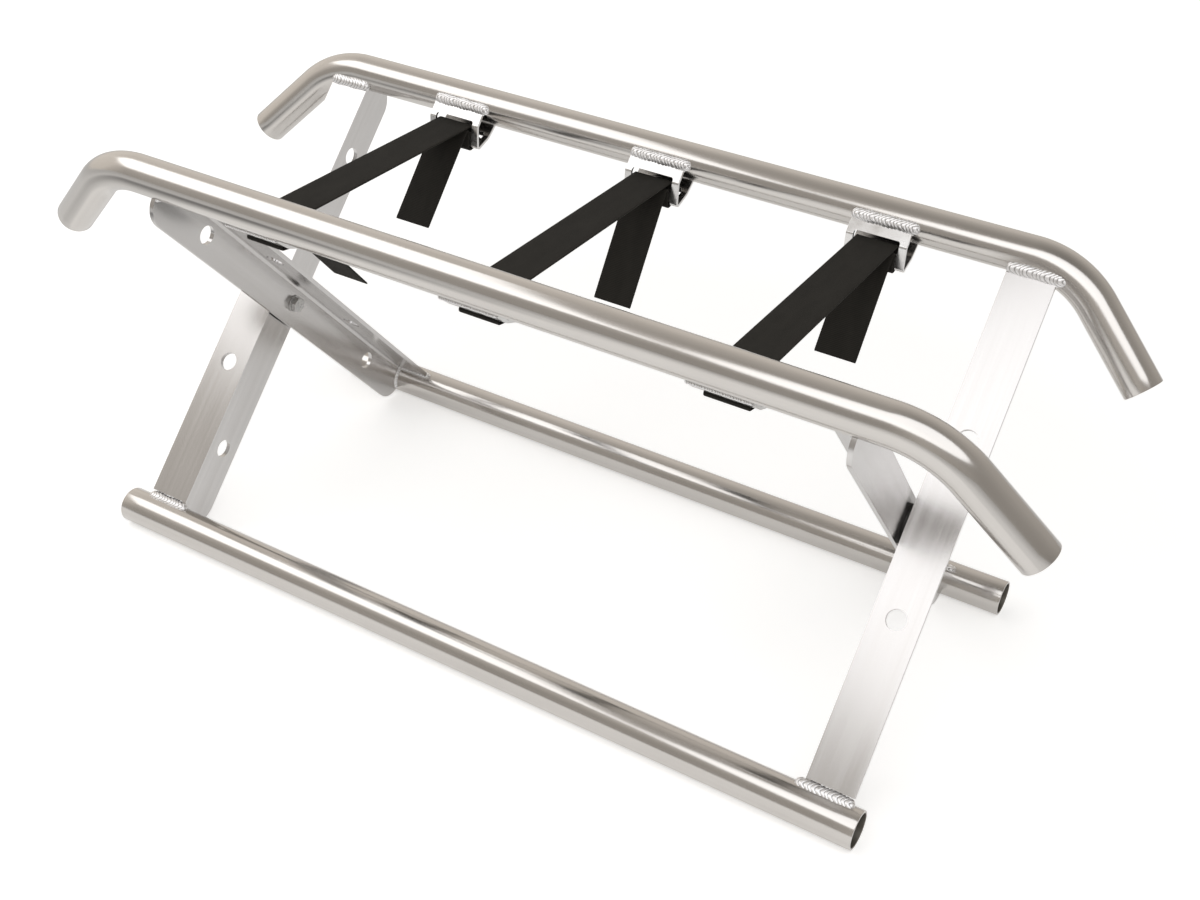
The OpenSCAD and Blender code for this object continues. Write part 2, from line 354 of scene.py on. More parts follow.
def attached(piece: Piece, body: str, slot: str, *nodes: str) -> Piece:
    """Makes a piece ride on its body in place of its nodes, and logs it.

    Args:
        piece: Finished piece.
        body: Body that it moves with.
        slot: Name of a material slot; not used.
        nodes: Nodes that it stands for.

    Returns:
        The same piece.
    """
    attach(piece, body)
    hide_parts(*nodes)
    LOG.info("%s rides on %s with %d faces", piece.name, body, len(piece.data.polygons))
    return piece


def swept(centres: np.ndarray, across: np.ndarray, up: np.ndarray, radii: np.ndarray,
          marks: np.ndarray, closed: bool, columns: int) -> Surface:
    """Carries a circle along a path.

    A point is the centre plus r cos(t) times one cross vector plus r sin(t) times
    the other, and its lay is r cos(t), r sin(t) and the distance along the path.

    Args:
        centres: Path point of each row.
        across: First cross vector of each row.
        up: Second cross vector of each row.
        radii: Radius of each row, or of each row and column.
        marks: Distance of each row along the path.
        closed: Whether the last row joins the first.
        columns: Number of points round the circle.

    Returns:
        The swept surface.
    """
    t = round_angles(columns)
    r = radii if radii.ndim == 2 else np.repeat(radii[:, None], columns, axis=1)
    x, y = r * np.cos(t), r * np.sin(t)
    points = centres[:, None, :] + x[..., None] * across[:, None, :] + y[..., None] * up[:, None, :]
    lay = np.stack([x, y, np.repeat(marks[:, None], columns, axis=1)], axis=-1)
    return Surface(points, lay, closed)


def wall_profile(marks: np.ndarray, outer: float, inner: float, ease: float) -> np.ndarray:
    """Profile of a tube's wall, out along its outside and back along its bore.

    Each of the four edges is a quarter circle of radius ease.

    Args:
        marks: Distances along the path, from one cut end to the other.
        outer: Outer radius.
        inner: Radius of the bore.
        ease: Radius of the edges at the cut ends.

    Returns:
        Rows of distance and radius, round the wall's section.
    """
    turn = np.linspace(0, math.pi / 2, EDGE_POINTS)
    s, c = ease * (1 - np.sin(turn)), ease * (1 - np.cos(turn))
    first, last = marks[0], marks[-1]
    middle = marks[(marks > first + 2 * ease) & (marks < last - 2 * ease)]
    outside = np.stack([middle, np.full_like(middle, outer)], axis=1)
    bore = np.stack([middle[::-1], np.full_like(middle, inner)], axis=1)
    end_out = np.stack([last - s, outer - c], axis=1)
    end_in = np.stack([last - s[::-1], inner + c[::-1]], axis=1)
    start_in = np.stack([first + s, inner + c], axis=1)
    start_out = np.stack([first + s[::-1], outer - c[::-1]], axis=1)
    return np.concatenate([outside, end_out, end_in, bore, start_in, start_out])


class Wiring:
    """Adds nodes to one material or world and joins them."""

    def __init__(self, owner: bpy.types.ID) -> None:
        """Empties the owner's node tree.

        Args:
            owner: Material or world that gets the nodes.
        """
        owner.use_nodes = True
        self.owner = owner
        self.tree = owner.node_tree
        self.tree.nodes.clear()

    def node(self, kind: str, sockets: dict | None = None, **settings: str) -> bpy.types.Node:
        """Adds a node, sets its properties and fills or joins its inputs.

        Args:
            kind: Node type, without its ShaderNode prefix.
            sockets: Value or output socket for each named or numbered input.
            settings: Properties of the node.

        Returns:
            The new node.
        """
        made = self.tree.nodes.new("ShaderNode" + kind)
        for key, value in settings.items():
            setattr(made, key, value)
        for key, value in (sockets or {}).items():
            if isinstance(value, Socket):
                self.tree.links.new(value, made.inputs[key])
            else:
                made.inputs[key].default_value = value
        return made

    def lay(self) -> Socket:
        """Returns the coordinates that a surface's own points hold."""
        return self.node("Attribute", attribute_name="lay").outputs["Vector"]

    def place(self) -> Socket:
        """Returns the object's coordinates, which are the stand's own."""
        return self.node("TexCoord").outputs["Object"]

    def maths(self, operation: str, first: Amount, second: Amount = 0.0) -> Socket:
        """Returns the result of one operation on two values or outputs."""
        return self.node("Math", {0: first, 1: second}, operation=operation).outputs[0]

    def measured(self, operation: str, first: Socket, second: tuple = (0, 0, 0)) -> Socket:
        """Returns the number that one operation on two vectors gives."""
        return self.node("VectorMath", {0: first, 1: second}, operation=operation).outputs["Value"]

    def weighed(self, first: Socket, share: float, second: Socket, other_share: float) -> Socket:
        """Returns the sum of two outputs, each times its share."""
        parts = self.maths("MULTIPLY", first, share), self.maths("MULTIPLY", second, other_share)
        return self.maths("ADD", *parts)

    def spread(self, factor: Socket, low: Amount, high: Amount,
               start: float = 0.3, end: float = 0.7) -> Socket:
        """Maps a factor between start and end to a value between low and high."""
        sockets = {"Value": factor, "From Min": start, "From Max": end, "To Min": low, "To Max": high}
        return self.node("MapRange", sockets).outputs["Result"]

    def noise(self, place: Socket, scale: tuple, detail: float) -> Socket:
        """Lays noise on coordinates that are first stretched.

        Args:
            place: Coordinates.
            scale: About how many grains it has in a metre along each of them.
            detail: How many finer layers the noise has.

        Returns:
            Output between 0 and 1.
        """
        mapped = self.node("Mapping", {"Vector": place, "Scale": scale})
        made = self.node("TexNoise", {"Vector": mapped.outputs[0], "Scale": 1.0, "Detail": detail})
        return made.outputs["Fac"]

    def ramp(self, factor: Socket, stops: list[tuple]) -> Socket:
        """Turns a factor into a colour.

        Args:
            factor: Output that drives the ramp.
            stops: Position and colour of its two stops.

        Returns:
            The colour output.
        """
        made = self.node("ValToRGB", {"Fac": factor})
        for element, (position, colour) in zip(made.color_ramp.elements, stops):
            element.position = position
            element.color = (*colour, 1.0)
        return made.outputs["Color"]

    def mixed(self, factor: Socket, first: Colour, second: Colour) -> Socket:
        """Returns a colour that goes from the first to the second with the factor."""
        made = self.node("Mix", {0: factor, 6: first, 7: second}, data_type="RGBA")
        return made.outputs[2]

    def relief(self, *layers: tuple) -> Socket:
        """Lays reliefs one over the other.

        Args:
            layers: Height output, distance in metres and strength of each.

        Returns:
            The normal output of the last.
        """
        below = {}
        for height, distance, strength in layers:
            sockets = {"Height": height, "Distance": distance, "Strength": strength}
            below = {"Normal": self.node("Bump", sockets | below).outputs["Normal"]}
        return below["Normal"]

    def finish(self, sockets: dict) -> Material:
        """Ends the material in one shader.

        Args:
            sockets: Value or output for each of the shader's inputs.

        Returns:
            The finished material.
        """
        shader = self.node("BsdfPrincipled", sockets)
        self.node("OutputMaterial", {"Surface": shader.outputs[0]})
        return self.owner


@dataclass(frozen=True)
class MetalFinish:
    """Metal whose tone and roughness follow one slow pattern.

    Attributes:
        name: Name of the material.
        dull: Colour where the pattern is low.
        bright: Colour where it is high.
        smooth: Roughness where the pattern is low.
        worn: Roughness where it is high.
        stops: Values of the pattern at which the two colours are reached.
    """

    name: str
    dull: tuple
    bright: tuple
    smooth: float
    worn: float
    stops: tuple[float, float] = (0.35, 0.65)

    def sockets(self, wiring: Wiring, pattern: Socket, normal: Socket) -> dict:
        """Works out the shader's inputs.

        Args:
            wiring: Wiring of the material.
            pattern: Output of the slow pattern.
            normal: Output of the relief.

        Returns:
            Value or output for each input.
        """
        colours = list(zip(self.stops, (self.dull, self.bright)))
        return {
            "Base Color": wiring.ramp(pattern, colours),
            "Metallic": 1.0,
            "Roughness": wiring.spread(pattern, self.smooth, self.worn),
            "Normal": normal,
        }


@dataclass(frozen=True)
class TubeFinish(MetalFinish):
    """Drawn and polished aluminium tube, with faint lines along its length.

    Attributes:
        bore: Colour inside the tube, a rougher mill finish darkened by painted shade in the bore.
        bore_roughness: Roughness there.
        bore_shade_fade: Distance over which the outside's finish takes over from the bore's painted shade.
    """

    name: str = "polished_tube"
    dull: tuple = (0.595, 0.572, 0.548)
    bright: tuple = (0.640, 0.618, 0.594)
    smooth: float = 0.15
    worn: float = 0.22
    bore: tuple = (0.20, 0.187, 0.165)
    bore_roughness: float = 0.5
    bore_shade_fade: float = 1.5 * MM

    def material(self) -> Material:
        """Builds the material on the tube's own lay.

        The distance to the tube's axis, which is the length of the lay's first two
        values, tells the bore, which gets a rougher finish and painted shade, from the outside.

        Returns:
            The finished material.
        """
        wiring = Wiring(bpy.data.materials.new(self.name))
        lay = wiring.lay()
        lines = wiring.noise(lay, (900, 900, 5), 4)
        streaks = wiring.noise(lay, (160, 160, 1.6), 3)
        clouds = wiring.noise(lay, (26, 26, 9), 3)
        normal = wiring.relief((lines, 0.02 * MM, 0.35), (streaks, 0.06 * MM, 0.35))
        sockets = self.sockets(wiring, wiring.weighed(streaks, 0.6, clouds, 0.4), normal)
        flat = wiring.node("VectorMath", {0: lay, 1: (1, 1, 0)}, operation="MULTIPLY").outputs[0]
        radius = wiring.measured("LENGTH", flat)
        inside = wiring.spread(radius, 1.0, 0.0, SIZES.bore_r, SIZES.bore_r + self.bore_shade_fade)
        # Inside the bore the colour turns dark: painted shade, over the bore's rougher mill finish
        sockets["Base Color"] = wiring.mixed(inside, sockets["Base Color"], (*self.bore, 1))
        sockets["Roughness"] = wiring.spread(inside, sockets["Roughness"], self.bore_roughness, 0.0, 1.0)
        return wiring.finish(sockets)


@dataclass(frozen=True)
class AngleFinish(MetalFinish):
    """Extruded aluminium angle with die lines along the leg.

    Attributes:
        rail: Side of the frame's top rail, which tells how its legs lean.
    """

    name: str = "satin_angle"
    dull: tuple = (0.580, 0.566, 0.556)
    bright: tuple = (0.660, 0.650, 0.645)
    smooth: float = 0.17
    worn: float = 0.25
    rail: Rail = Rail.FAR

    def material(self) -> Material:
        """Builds the material on object coordinates turned along the leg.

        Returns:
            The finished material.
        """
        wiring = Wiring(bpy.data.materials.new(f"{self.name}_{self.rail.name.lower()}"))
        turn = (-self.rail.value * SIZES.leg_angle, 0, 0)
        along = wiring.node("Mapping", {"Vector": wiring.place(), "Rotation": turn}).outputs[0]
        lines = wiring.noise(along, (900, 3.0, 900), 3)
        streaks = wiring.noise(along, (95, 1.3, 95), 3)
        clouds = wiring.noise(along, (17, 5, 17), 2)
        normal = wiring.relief((lines, 0.02 * MM, 0.35), (streaks, 0.04 * MM, 0.22))
        return wiring.finish(self.sockets(wiring, wiring.weighed(streaks, 0.6, clouds, 0.4), normal))


@dataclass(frozen=True)
class SheetFinish(MetalFinish):
    """Polished aluminium sheet of the strap brackets."""

    name: str = "polished_sheet"
    dull: tuple = (0.66, 0.65, 0.64)
    bright: tuple = (0.74, 0.735, 0.73)
    smooth: float = 0.17
    worn: float = 0.28

    def material(self) -> Material:
        """Builds the material, with grain along the rail and fine scratches.

        Returns:
            The finished material.
        """
        wiring = Wiring(bpy.data.materials.new(self.name))
        place = wiring.place()
        grain = wiring.noise(place, (12, 1100, 1100), 4)
        clouds = wiring.noise(place, (45, 70, 70), 4)
        normal = wiring.relief((grain, 0.03 * MM, 0.35), (clouds, 0.3 * MM, 0.15))
        return wiring.finish(self.sockets(wiring, clouds, normal))


@dataclass(frozen=True)
class BeadFinish(MetalFinish):
    """Bright aluminium weld metal, with painted shade in the creases between the puddles.

    Attributes:
        crease: Dark colour in the creases, which is painted shade.
        crease_shade_span: Heights of the puddles between which that painted shade fades out.
    """

    name: str = "weld_bead"
    dull: tuple = (0.84, 0.83, 0.83)
    bright: tuple = (0.95, 0.945, 0.95)
    smooth: float = 0.34
    worn: float = 0.46
    stops: tuple[float, float] = (0.35, 0.6)
    crease: tuple = (0.20, 0.195, 0.19)
    crease_shade_span: tuple[float, float] = (0.12, 0.55)

    def material(self) -> Material:
        """Builds the material on the height of the puddles, which the lay's first value holds.

        Returns:
            The finished material.
        """
        wiring = Wiring(bpy.data.materials.new(self.name))
        place = wiring.place()
        skin = wiring.noise(place, (1500, 1500, 1500), 4)
        spots = wiring.noise(place, (300, 300, 300), 3)
        sockets = self.sockets(wiring, spots, wiring.relief((skin, 0.04 * MM, 0.3)))
        height = wiring.node("SeparateXYZ", {0: wiring.lay()}).outputs[0]
        # Low puddle heights take the crease colour: painted shade between the puddles
        on_top = wiring.spread(height, 0.0, 1.0, *self.crease_shade_span)
        sockets["Base Color"] = wiring.mixed(on_top, (*self.crease, 1), sockets["Base Color"])
        return wiring.finish(sockets)


@dataclass(frozen=True)
class SteelFinish(MetalFinish):
    """Zinc-plated steel of the bolts, nuts and washers."""

    name: str = "zinc_steel"
    dull: tuple = (0.42, 0.42, 0.42)
    bright: tuple = (0.60, 0.595, 0.58)
    smooth: float = 0.24
    worn: float = 0.42
    stops: tuple[float, float] = (0.35, 0.62)

    def material(self) -> Material:
        """Builds the material, with turning marks and cloudy plating.

        Returns:
            The finished material.
        """
        wiring = Wiring(bpy.data.materials.new(self.name))
        lay = wiring.lay()
        marks = wiring.noise(lay, (900, 900, 2500), 3)
        plating = wiring.noise(lay, (320, 320, 320), 4)
        return wiring.finish(self.sockets(wiring, plating, wiring.relief((marks, 0.04 * MM, 0.5))))


@dataclass(frozen=True)
class NylonFinish:
    """Matt nylon of the spacers and the nuts' locking rings.

    Attributes:
        name: Name of the material.
        dark: Its own colour.
        pale: Its colour where it is rubbed.
    """

    name: str
    dark: tuple
    pale: tuple

    def material(self) -> Material:
        """Builds the material, with a fine moulded grain.

        Returns:
            The finished material.
        """
        wiring = Wiring(bpy.data.materials.new(self.name))
        lay = wiring.lay()
        grain = wiring.noise(lay, (1800, 1800, 1800), 3)
        rub = wiring.noise(lay, (150, 150, 150), 4)
        return wiring.finish({
            "Base Color": wiring.ramp(rub, [(0.4, self.dark), (0.7, self.pale)]),
            "Roughness": wiring.spread(rub, 0.42, 0.6),
            "Specular IOR Level": 0.45,
            "Normal": wiring.relief((grain, 0.05 * MM, 0.5)),
        })


@dataclass(frozen=True)
class WebbingFinish:
    """Black woven polyester webbing with warp cords along its length.

    Attributes:
        name: Name of the material.
        dark: Colour in the hollows of the weave, which is painted shade.
        pale: Colour on its crowns, partly real wear and partly painted light on the raised weave.
        cord_pitch: Distance between cords across the strap.
        rib_pitch: Distance between ribs along it.
    """

    name: str = "webbing"
    dark: tuple = (0.0095, 0.0085, 0.0066)
    pale: tuple = (0.0285, 0.0254, 0.0204)
    cord_pitch: float = 1.25 * MM
    rib_pitch: float = 2.2 * MM

    def hump(self, wiring: Wiring, place: Socket) -> Socket:
        """Returns |sin(pi place)|, one hump in each whole step of the place."""
        return wiring.maths("ABSOLUTE", wiring.maths("SINE", wiring.maths("MULTIPLY", place, math.pi)))

    def material(self) -> Material:
        """Builds the weave on the strap's own lay, across, through and along it.

        Each cord is a hump across the strap and each rib a hump along it. Every other
        rib moves the cords by half a pitch, so that they pass over and under by turns.

        Returns:
            The finished material.
        """
        wiring = Wiring(bpy.data.materials.new(self.name))
        lay = wiring.lay()
        split = wiring.node("SeparateXYZ", {0: lay})
        rib = wiring.maths("MULTIPLY", split.outputs[2], 1 / self.rib_pitch)
        shift = wiring.maths("MULTIPLY", wiring.maths("MODULO", wiring.maths("FLOOR", rib), 2.0), 0.5)
        cord = wiring.maths("ADD", wiring.maths("MULTIPLY", split.outputs[0], 1 / self.cord_pitch), shift)
        weave = wiring.maths("MULTIPLY", self.hump(wiring, cord), self.hump(wiring, rib))
        fuzz = wiring.noise(lay, (2600, 2600, 900), 3)
        wear = wiring.noise(lay, (60, 60, 22), 3)
        # Colour follows the weave: painted shade in its hollows and painted light on its humps, mixed with
        # real wear
        tone = wiring.weighed(weave, 0.55, wear, 0.45)
        return wiring.finish({
            "Base Color": wiring.ramp(tone, [(0.15, self.dark), (0.8, self.pale)]),
            "Roughness": wiring.spread(fuzz, 0.62, 0.85),
            "Specular IOR Level": 0.15,
            "Sheen Weight": 0.03,
            "Sheen Roughness": 0.45,
            "Normal": wiring.relief((weave, 0.28 * MM, 0.8), (fuzz, 0.12 * MM, 0.4)),
        })


@dataclass(frozen=True)
class FloorFinish:
    """Plain pale paper that keeps the stand's shadow.

    Attributes:
        name: Name of the material.
        paint: How much of the light the paper gives back.
        white: What the camera sees on top of that near the stand, so that bare paper is white.
        far_white: The same far from the stand.
        far_reach: Distances from the middle at which the one ends and the other is reached.
        sheen: What polished metal sees on top of that.
        dim: Share of the paper that metal sees past its side edges.
        edge: Distance of the side edges from the middle.
        edge_blur: Half of the width over which they fade.
        shade_at: Middle of a shaded stretch that metal sees in front, on the left.
        shade_share: Share of the paper's brightness left there.
        shade_reach: How far from there the shade starts to fade, and where it ends.
    """

    name: str = "studio_floor"
    paint: tuple = (0.82, 0.80, 0.77)
    white: float = 0.47
    far_white: float = 0.75
    far_reach: tuple[float, float] = (0.9, 2.4)
    sheen: float = 0.265
    dim: float = 0.77
    edge: float = 0.905
    edge_blur: float = 0.03
    shade_at: tuple = (-1.2, -1.15, 0.0)
    shade_share: float = 0.22
    shade_reach: tuple[float, float] = (0.10, 0.85)

    def material(self) -> Material:
        """Builds a rough paper whose colour reaches white for the rays that see it.

        Returns:
            The finished material.
        """
        wiring = Wiring(bpy.data.materials.new(self.name))
        rays = wiring.node("LightPath")
        glossy = rays.outputs["Is Glossy Ray"]
        seen = wiring.maths("MAXIMUM", rays.outputs["Is Camera Ray"], rays.outputs["Is Transmission Ray"])
        place = wiring.place()
        across = wiring.maths("ABSOLUTE", wiring.node("SeparateXYZ", {0: place}).outputs[0])
        past = wiring.spread(across, 1.0, self.dim, self.edge - self.edge_blur, self.edge + self.edge_blur)
        gap = wiring.measured("DISTANCE", place, self.shade_at)
        share = wiring.spread(gap, self.shade_share, 1.0, *self.shade_reach)
        reach = wiring.measured("LENGTH", place)
        pale = wiring.spread(reach, self.white, self.far_white, *self.far_reach)
        white = wiring.maths("MULTIPLY", seen, pale)
        sheen = wiring.maths("MULTIPLY", wiring.maths("MULTIPLY", glossy, self.sheen), share)
        glow = wiring.node("Emission", {"Color": WHITE, "Strength": wiring.maths("ADD", white, sheen)})
        for_metal = wiring.spread(glossy, 1.0, wiring.maths("MULTIPLY", past, share), 0.0, 1.0)
        colour = wiring.mixed(for_metal, BLACK, (*self.paint, 1))
        paint = wiring.node("BsdfDiffuse", {"Color": colour})
        both = wiring.node("AddShader", {0: paint.outputs[0], 1: glow.outputs[0]})
        wiring.node("OutputMaterial", {"Surface": both.outputs[0]})
        return wiring.owner


@dataclass(frozen=True)
class Tube(ABC):
    """Tube of a frame, open at both ends.

    Attributes:
        rail: Side of the frame's top rail.
        columns: Points round the tube.
        ease: Radius of the edges at its cut ends.
    """

    rail: Rail
    columns: int = 96
    ease: float = 0.6 * MM

    @abstractmethod
    def marks(self) -> np.ndarray:
        """Distances along the axis at which rows are laid."""

    @abstractmethod
    def axis(self, marks: np.ndarray) -> tuple[np.ndarray, np.ndarray]:
        """Points of the axis at some distances, and its direction at each."""

    @abstractmethod
    def square(self) -> np.ndarray:
        """Direction that is square to the axis all along."""

    def build(self, name: str, node: str, body: str, material: Material) -> Piece:
        """Builds wall, bore and eased ends as one closed surface.

        Args:
            name: Name of the piece.
            node: Node that it stands for.
            body: Body that it moves with.
            material: Finish of the tube.

        Returns:
            The tube.
        """
        profile = wall_profile(self.marks(), SIZES.tube_r, SIZES.bore_r, self.ease)
        marks, radii = profile[:, 0], profile[:, 1]
        centres, along = self.axis(marks)
        across = np.tile(self.square(), (len(centres), 1))
        surface = swept(centres, across, np.cross(along, across), radii, marks, True, self.columns)
        return attached(placed(mesh_from(name, [surface]), material), body, "tube", node)


@dataclass(frozen=True)
class TopRail(Tube):
    """Top rail: one tube whose two ends are bent down and lean inwards.

    Attributes:
        arc_rows: Rows laid round each bend.
        straight_rows: Rows laid on half of the straight middle.
    """

    arc_rows: int = 40
    straight_rows: int = 16

    def bend_reach(self) -> float:
        """Length from the bend's start to its corner."""
        return SIZES.rail_bend_r * math.tan(SIZES.rail_bend / 2)

    def bend_start(self) -> float:
        """Distance from the middle to where a bend starts."""
        return SIZES.rail_corner_x - self.bend_reach()

    def marks(self) -> np.ndarray:
        """Lays the rows closer together in the bends.

        Returns:
            Distances along the axis, from the middle.
        """
        bend_start = self.bend_start()
        bend_end = bend_start + SIZES.rail_bend_r * SIZES.rail_bend
        end = bend_end + SIZES.rail_end_len - self.bend_reach()
        half = np.concatenate([
            np.linspace(0, bend_start, self.straight_rows)[1:],
            np.linspace(bend_start, bend_end, self.arc_rows + 1)[1:],
            np.linspace(bend_end, end, self.straight_rows // 2)[1:],
        ])
        return np.concatenate([-half[::-1], [0.0], half])

    def axis(self, marks: np.ndarray) -> tuple[np.ndarray, np.ndarray]:
        """Follows the axis: straight, then an arc of the bend's radius, then straight.

        In the bend's plane an arc of radius R through the angle t reaches R sin t
        outwards and R (1 - cos t) down, and that plane leans inwards by the splay.

        Args:
            marks: Signed distances along the axis from the middle.

        Returns:
            The axis points and the direction of the axis at each.
        """
        far = np.abs(marks)
        radius, start = SIZES.rail_bend_r, self.bend_start()
        turn = np.clip((far - start) / radius, 0, SIZES.rail_bend)
        rest = np.maximum(far - start - radius * SIZES.rail_bend, 0)
        out = np.minimum(far, start) + radius * np.sin(turn) + rest * np.cos(turn)
        drop = radius * (1 - np.cos(turn)) + rest * np.sin(turn)
        sign = np.sign(marks)
        lean, fall = math.sin(SIZES.rail_splay), math.cos(SIZES.rail_splay)
        y = self.rail.value * (SIZES.rail_y - drop * lean)
        points = np.stack([sign * out, y, SIZES.rail_z - drop * fall], axis=1)
        dip = sign * np.sin(turn)
        along = np.stack([np.cos(turn), -self.rail.value * dip * lean, -dip * fall], axis=1)
        return points, along

    def square(self) -> np.ndarray:
        """Direction out of the bends' plane."""
        lean, fall = math.sin(SIZES.rail_splay), math.cos(SIZES.rail_splay)
        return np.array([0.0, fall, -self.rail.value * lean])


@dataclass(frozen=True)
class FootTube(Tube):
    """Straight foot tube.

    Attributes:
        rows: Rows laid along the tube.
    """

    rows: int = 40

    def marks(self) -> np.ndarray:
        """Distances along X at which rows are laid."""
        half = SIZES.foot_len / 2
        return np.linspace(-half, half, self.rows) - SIZES.foot_shift

    def axis(self, marks: np.ndarray) -> tuple[np.ndarray, np.ndarray]:
        """Follows the axis, straight along X and one radius above the floor.

        Args:
            marks: Distances along X.

        Returns:
            The axis points and the direction of the axis at each.
        """
        ones = np.ones_like(marks)
        points = np.stack([marks, -self.rail.value * SIZES.foot_y * ones, SIZES.tube_r * ones], axis=1)
        return points, np.stack([ones, 0 * ones, 0 * ones], axis=1)

    def square(self) -> np.ndarray:
        """Direction across the stand."""
        return np.array([0.0, 1.0, 0.0])


@dataclass(frozen=True)
class EasedPart:
    """Sawn or folded metal part, with its edges broken as a file leaves them.

    Attributes:
        ease: Width of the broken edges.
        segments: Faces across each.
        merge_within: Distance within which corners are joined.
        flat_within: Angle within which neighbouring faces make one flat.
        edge_angle: Angle past which an edge is broken.
        flat_lead: How strongly the large flats lead the shading.
    """

    ease: float
    segments: int = 2
    merge_within: float = 2e-6
    flat_within: float = math.radians(0.8)
    edge_angle: float = math.radians(40)
    flat_lead: int = 100

    def build(self, node: str, body: str, slot: str, material: Material) -> Piece:
        """Copies a node's faces, joins them and bevels the edges between flats.

        Args:
            node: Node that gives the shape.
            body: Body that the part moves with.
            slot: Name of a material slot, passed on to attached, which does not use it.
            material: Finish of the part.

        Returns:
            The eased part.
        """
        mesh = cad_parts[node].data.copy()
        mesh.name = node + "_eased"
        tool = bmesh.new()
        tool.from_mesh(mesh)
        bmesh.ops.remove_doubles(tool, verts=tool.verts, dist=self.merge_within)
        bmesh.ops.dissolve_limit(tool, angle_limit=self.flat_within, verts=tool.verts, edges=tool.edges)
        tool.to_mesh(mesh)
        tool.free()
        mesh.shade_smooth()
        piece = placed(mesh, material)
        bevel = piece.modifiers.new("broken_edges", "BEVEL")
        bevel.width = self.ease
        bevel.segments = self.segments
        bevel.limit_method = "ANGLE"
        bevel.angle_limit = self.edge_angle
        bevel.use_clamp_overlap = True
        weighted = piece.modifiers.new("flat_faces_lead", "WEIGHTED_NORMAL")
        weighted.keep_sharp = False
        weighted.weight = self.flat_lead
        return attached(piece, body, slot, node)


@dataclass(frozen=True)
class BeadSize:
    """Section and ripples of a weld bead.

    Attributes:
        crown: Height of the crown above the bead's middle.
        half_w: Half of the bead's width.
        pitch: Distance between puddles.
        depth: Depth of the crease between two puddles.
    """

    crown: float
    half_w: float
    pitch: float
    depth: float


@dataclass(frozen=True)
class SlowWave:
    """Slow unevenness along a bead.

    Attributes:
        share: How much it changes by, where 1 is the whole.
        puddles: Its length in puddles.
        start: Where it starts, in radians for each metre of the bead's half width.
    """

    share: float
    puddles: float
    start: float

    def at(self, marks: np.ndarray, size: BeadSize) -> np.ndarray:
        """Returns the share times a sine of the distance along the bead."""
        return self.share * np.sin(marks * TURN / (self.puddles * size.pitch) + size.half_w * self.start)


@dataclass(frozen=True)
class Bead:
    """Weld bead, laid as a row of overlapping puddles along a path.

    Attributes:
        path: Points along the bead's middle.
        outward: Direction of the crown at each point.
        size: Its section and ripples.
        taper: Length over which the last end narrows, where it is more than the half width.
        rows_per_puddle: Rows laid on each puddle, and the fewest on a bead.
        columns: Points round the section.
        sweep_back: How far the puddles lag at the sides, in half widths.
        crown_share: Depth of a crease at the crown beside its depth at the sides.
        peak: Phase of a puddle at which it is highest.
        even_rows: Share of the rows' spacing that is even, where the rest closes up
            towards the round ends.
        uneven: Unevenness of the puddles' lengths, in pitches.
        swell: Unevenness of the crown and the width.
    """

    path: np.ndarray
    outward: np.ndarray
    size: BeadSize
    taper: float = 0.0
    rows_per_puddle: int = 12
    columns: int = 40
    sweep_back: float = 1.0
    crown_share: float = 0.9
    peak: float = 0.82
    even_rows: float = 0.65
    uneven: SlowWave = SlowWave(0.16, 3.7, 700)
    swell: SlowWave = SlowWave(0.05, 5.3, 300)

    def dome(self, marks: np.ndarray, t: np.ndarray) -> np.ndarray:
        """Works out the height of the puddles, from 0 in a crease to 1 on top.

        Over a puddle's phase p the height is the sine of a quarter turn up to the
        peak and falls straight from there, as one scale over the next. The phase lags
        down the sides by the square of the distance from the crown, so that each edge
        is a crescent, and the creases are deepest at the sides.

        Args:
            marks: Distance of each row along the path.
            t: Angle of each column from the crown.

        Returns:
            Height for each row and column.
        """
        pitch = self.size.pitch
        lag = self.sweep_back * self.size.half_w * np.sin(t) ** 2
        moved = marks + pitch * self.uneven.at(marks, self.size)
        phase = ((moved[:, None] - lag[None, :]) / pitch) % 1
        rise = np.sin(phase / self.peak * math.pi / 2)
        dome = np.where(phase < self.peak, rise, (1 - phase) / (1 - self.peak))
        crease = self.crown_share + (1 - self.crown_share) * np.sin(t) ** 2
        return 1 - (1 - dome) * crease[None, :]

    def surface(self) -> Surface:
        """Works out the bead's skin.

        The section is an ellipse, crown cos t high and half_w sin t wide. It is
        scaled by a round end at each end of the path and by the swell, and lowered
        between the puddles. The lay's first value is the puddles' height.

        Returns:
            The closed skin, with a pole at each end.
        """
        size = self.size
        along = run_along(self.path)
        length = float(along[-1])
        count = max(self.rows_per_puddle, int(length / size.pitch * self.rows_per_puddle))
        closing_up = length * (1 - np.cos(np.linspace(0, math.pi, count))) / 2
        marks = (1 - self.even_rows) * closing_up + self.even_rows * np.linspace(0, length, count)
        centres = read_at(self.path, along, marks)
        run = unit(np.gradient(centres, axis=0))
        crown = unit(read_at(self.outward, along, marks))
        crown = unit(crown - run * np.sum(crown * run, axis=1, keepdims=True))
        side = np.cross(run, crown) * size.half_w / size.crown
        dome = self.dome(marks, round_angles(self.columns))
        from_end = np.minimum(marks / size.half_w, (length - marks) / max(size.half_w, self.taper))
        round_end = np.sqrt(np.clip(1 - (1 - np.minimum(from_end, 1)) ** 2, 0, 1))
        full = size.crown * (round_end * (1 + self.swell.at(marks, size)))[:, None]
        radii = full - size.depth * (1 - dome) * round_end[:, None]
        skin = swept(centres, crown, side, np.maximum(radii, 0), marks, False, self.columns)
        skin.lay[..., 0] = dome
        return skin


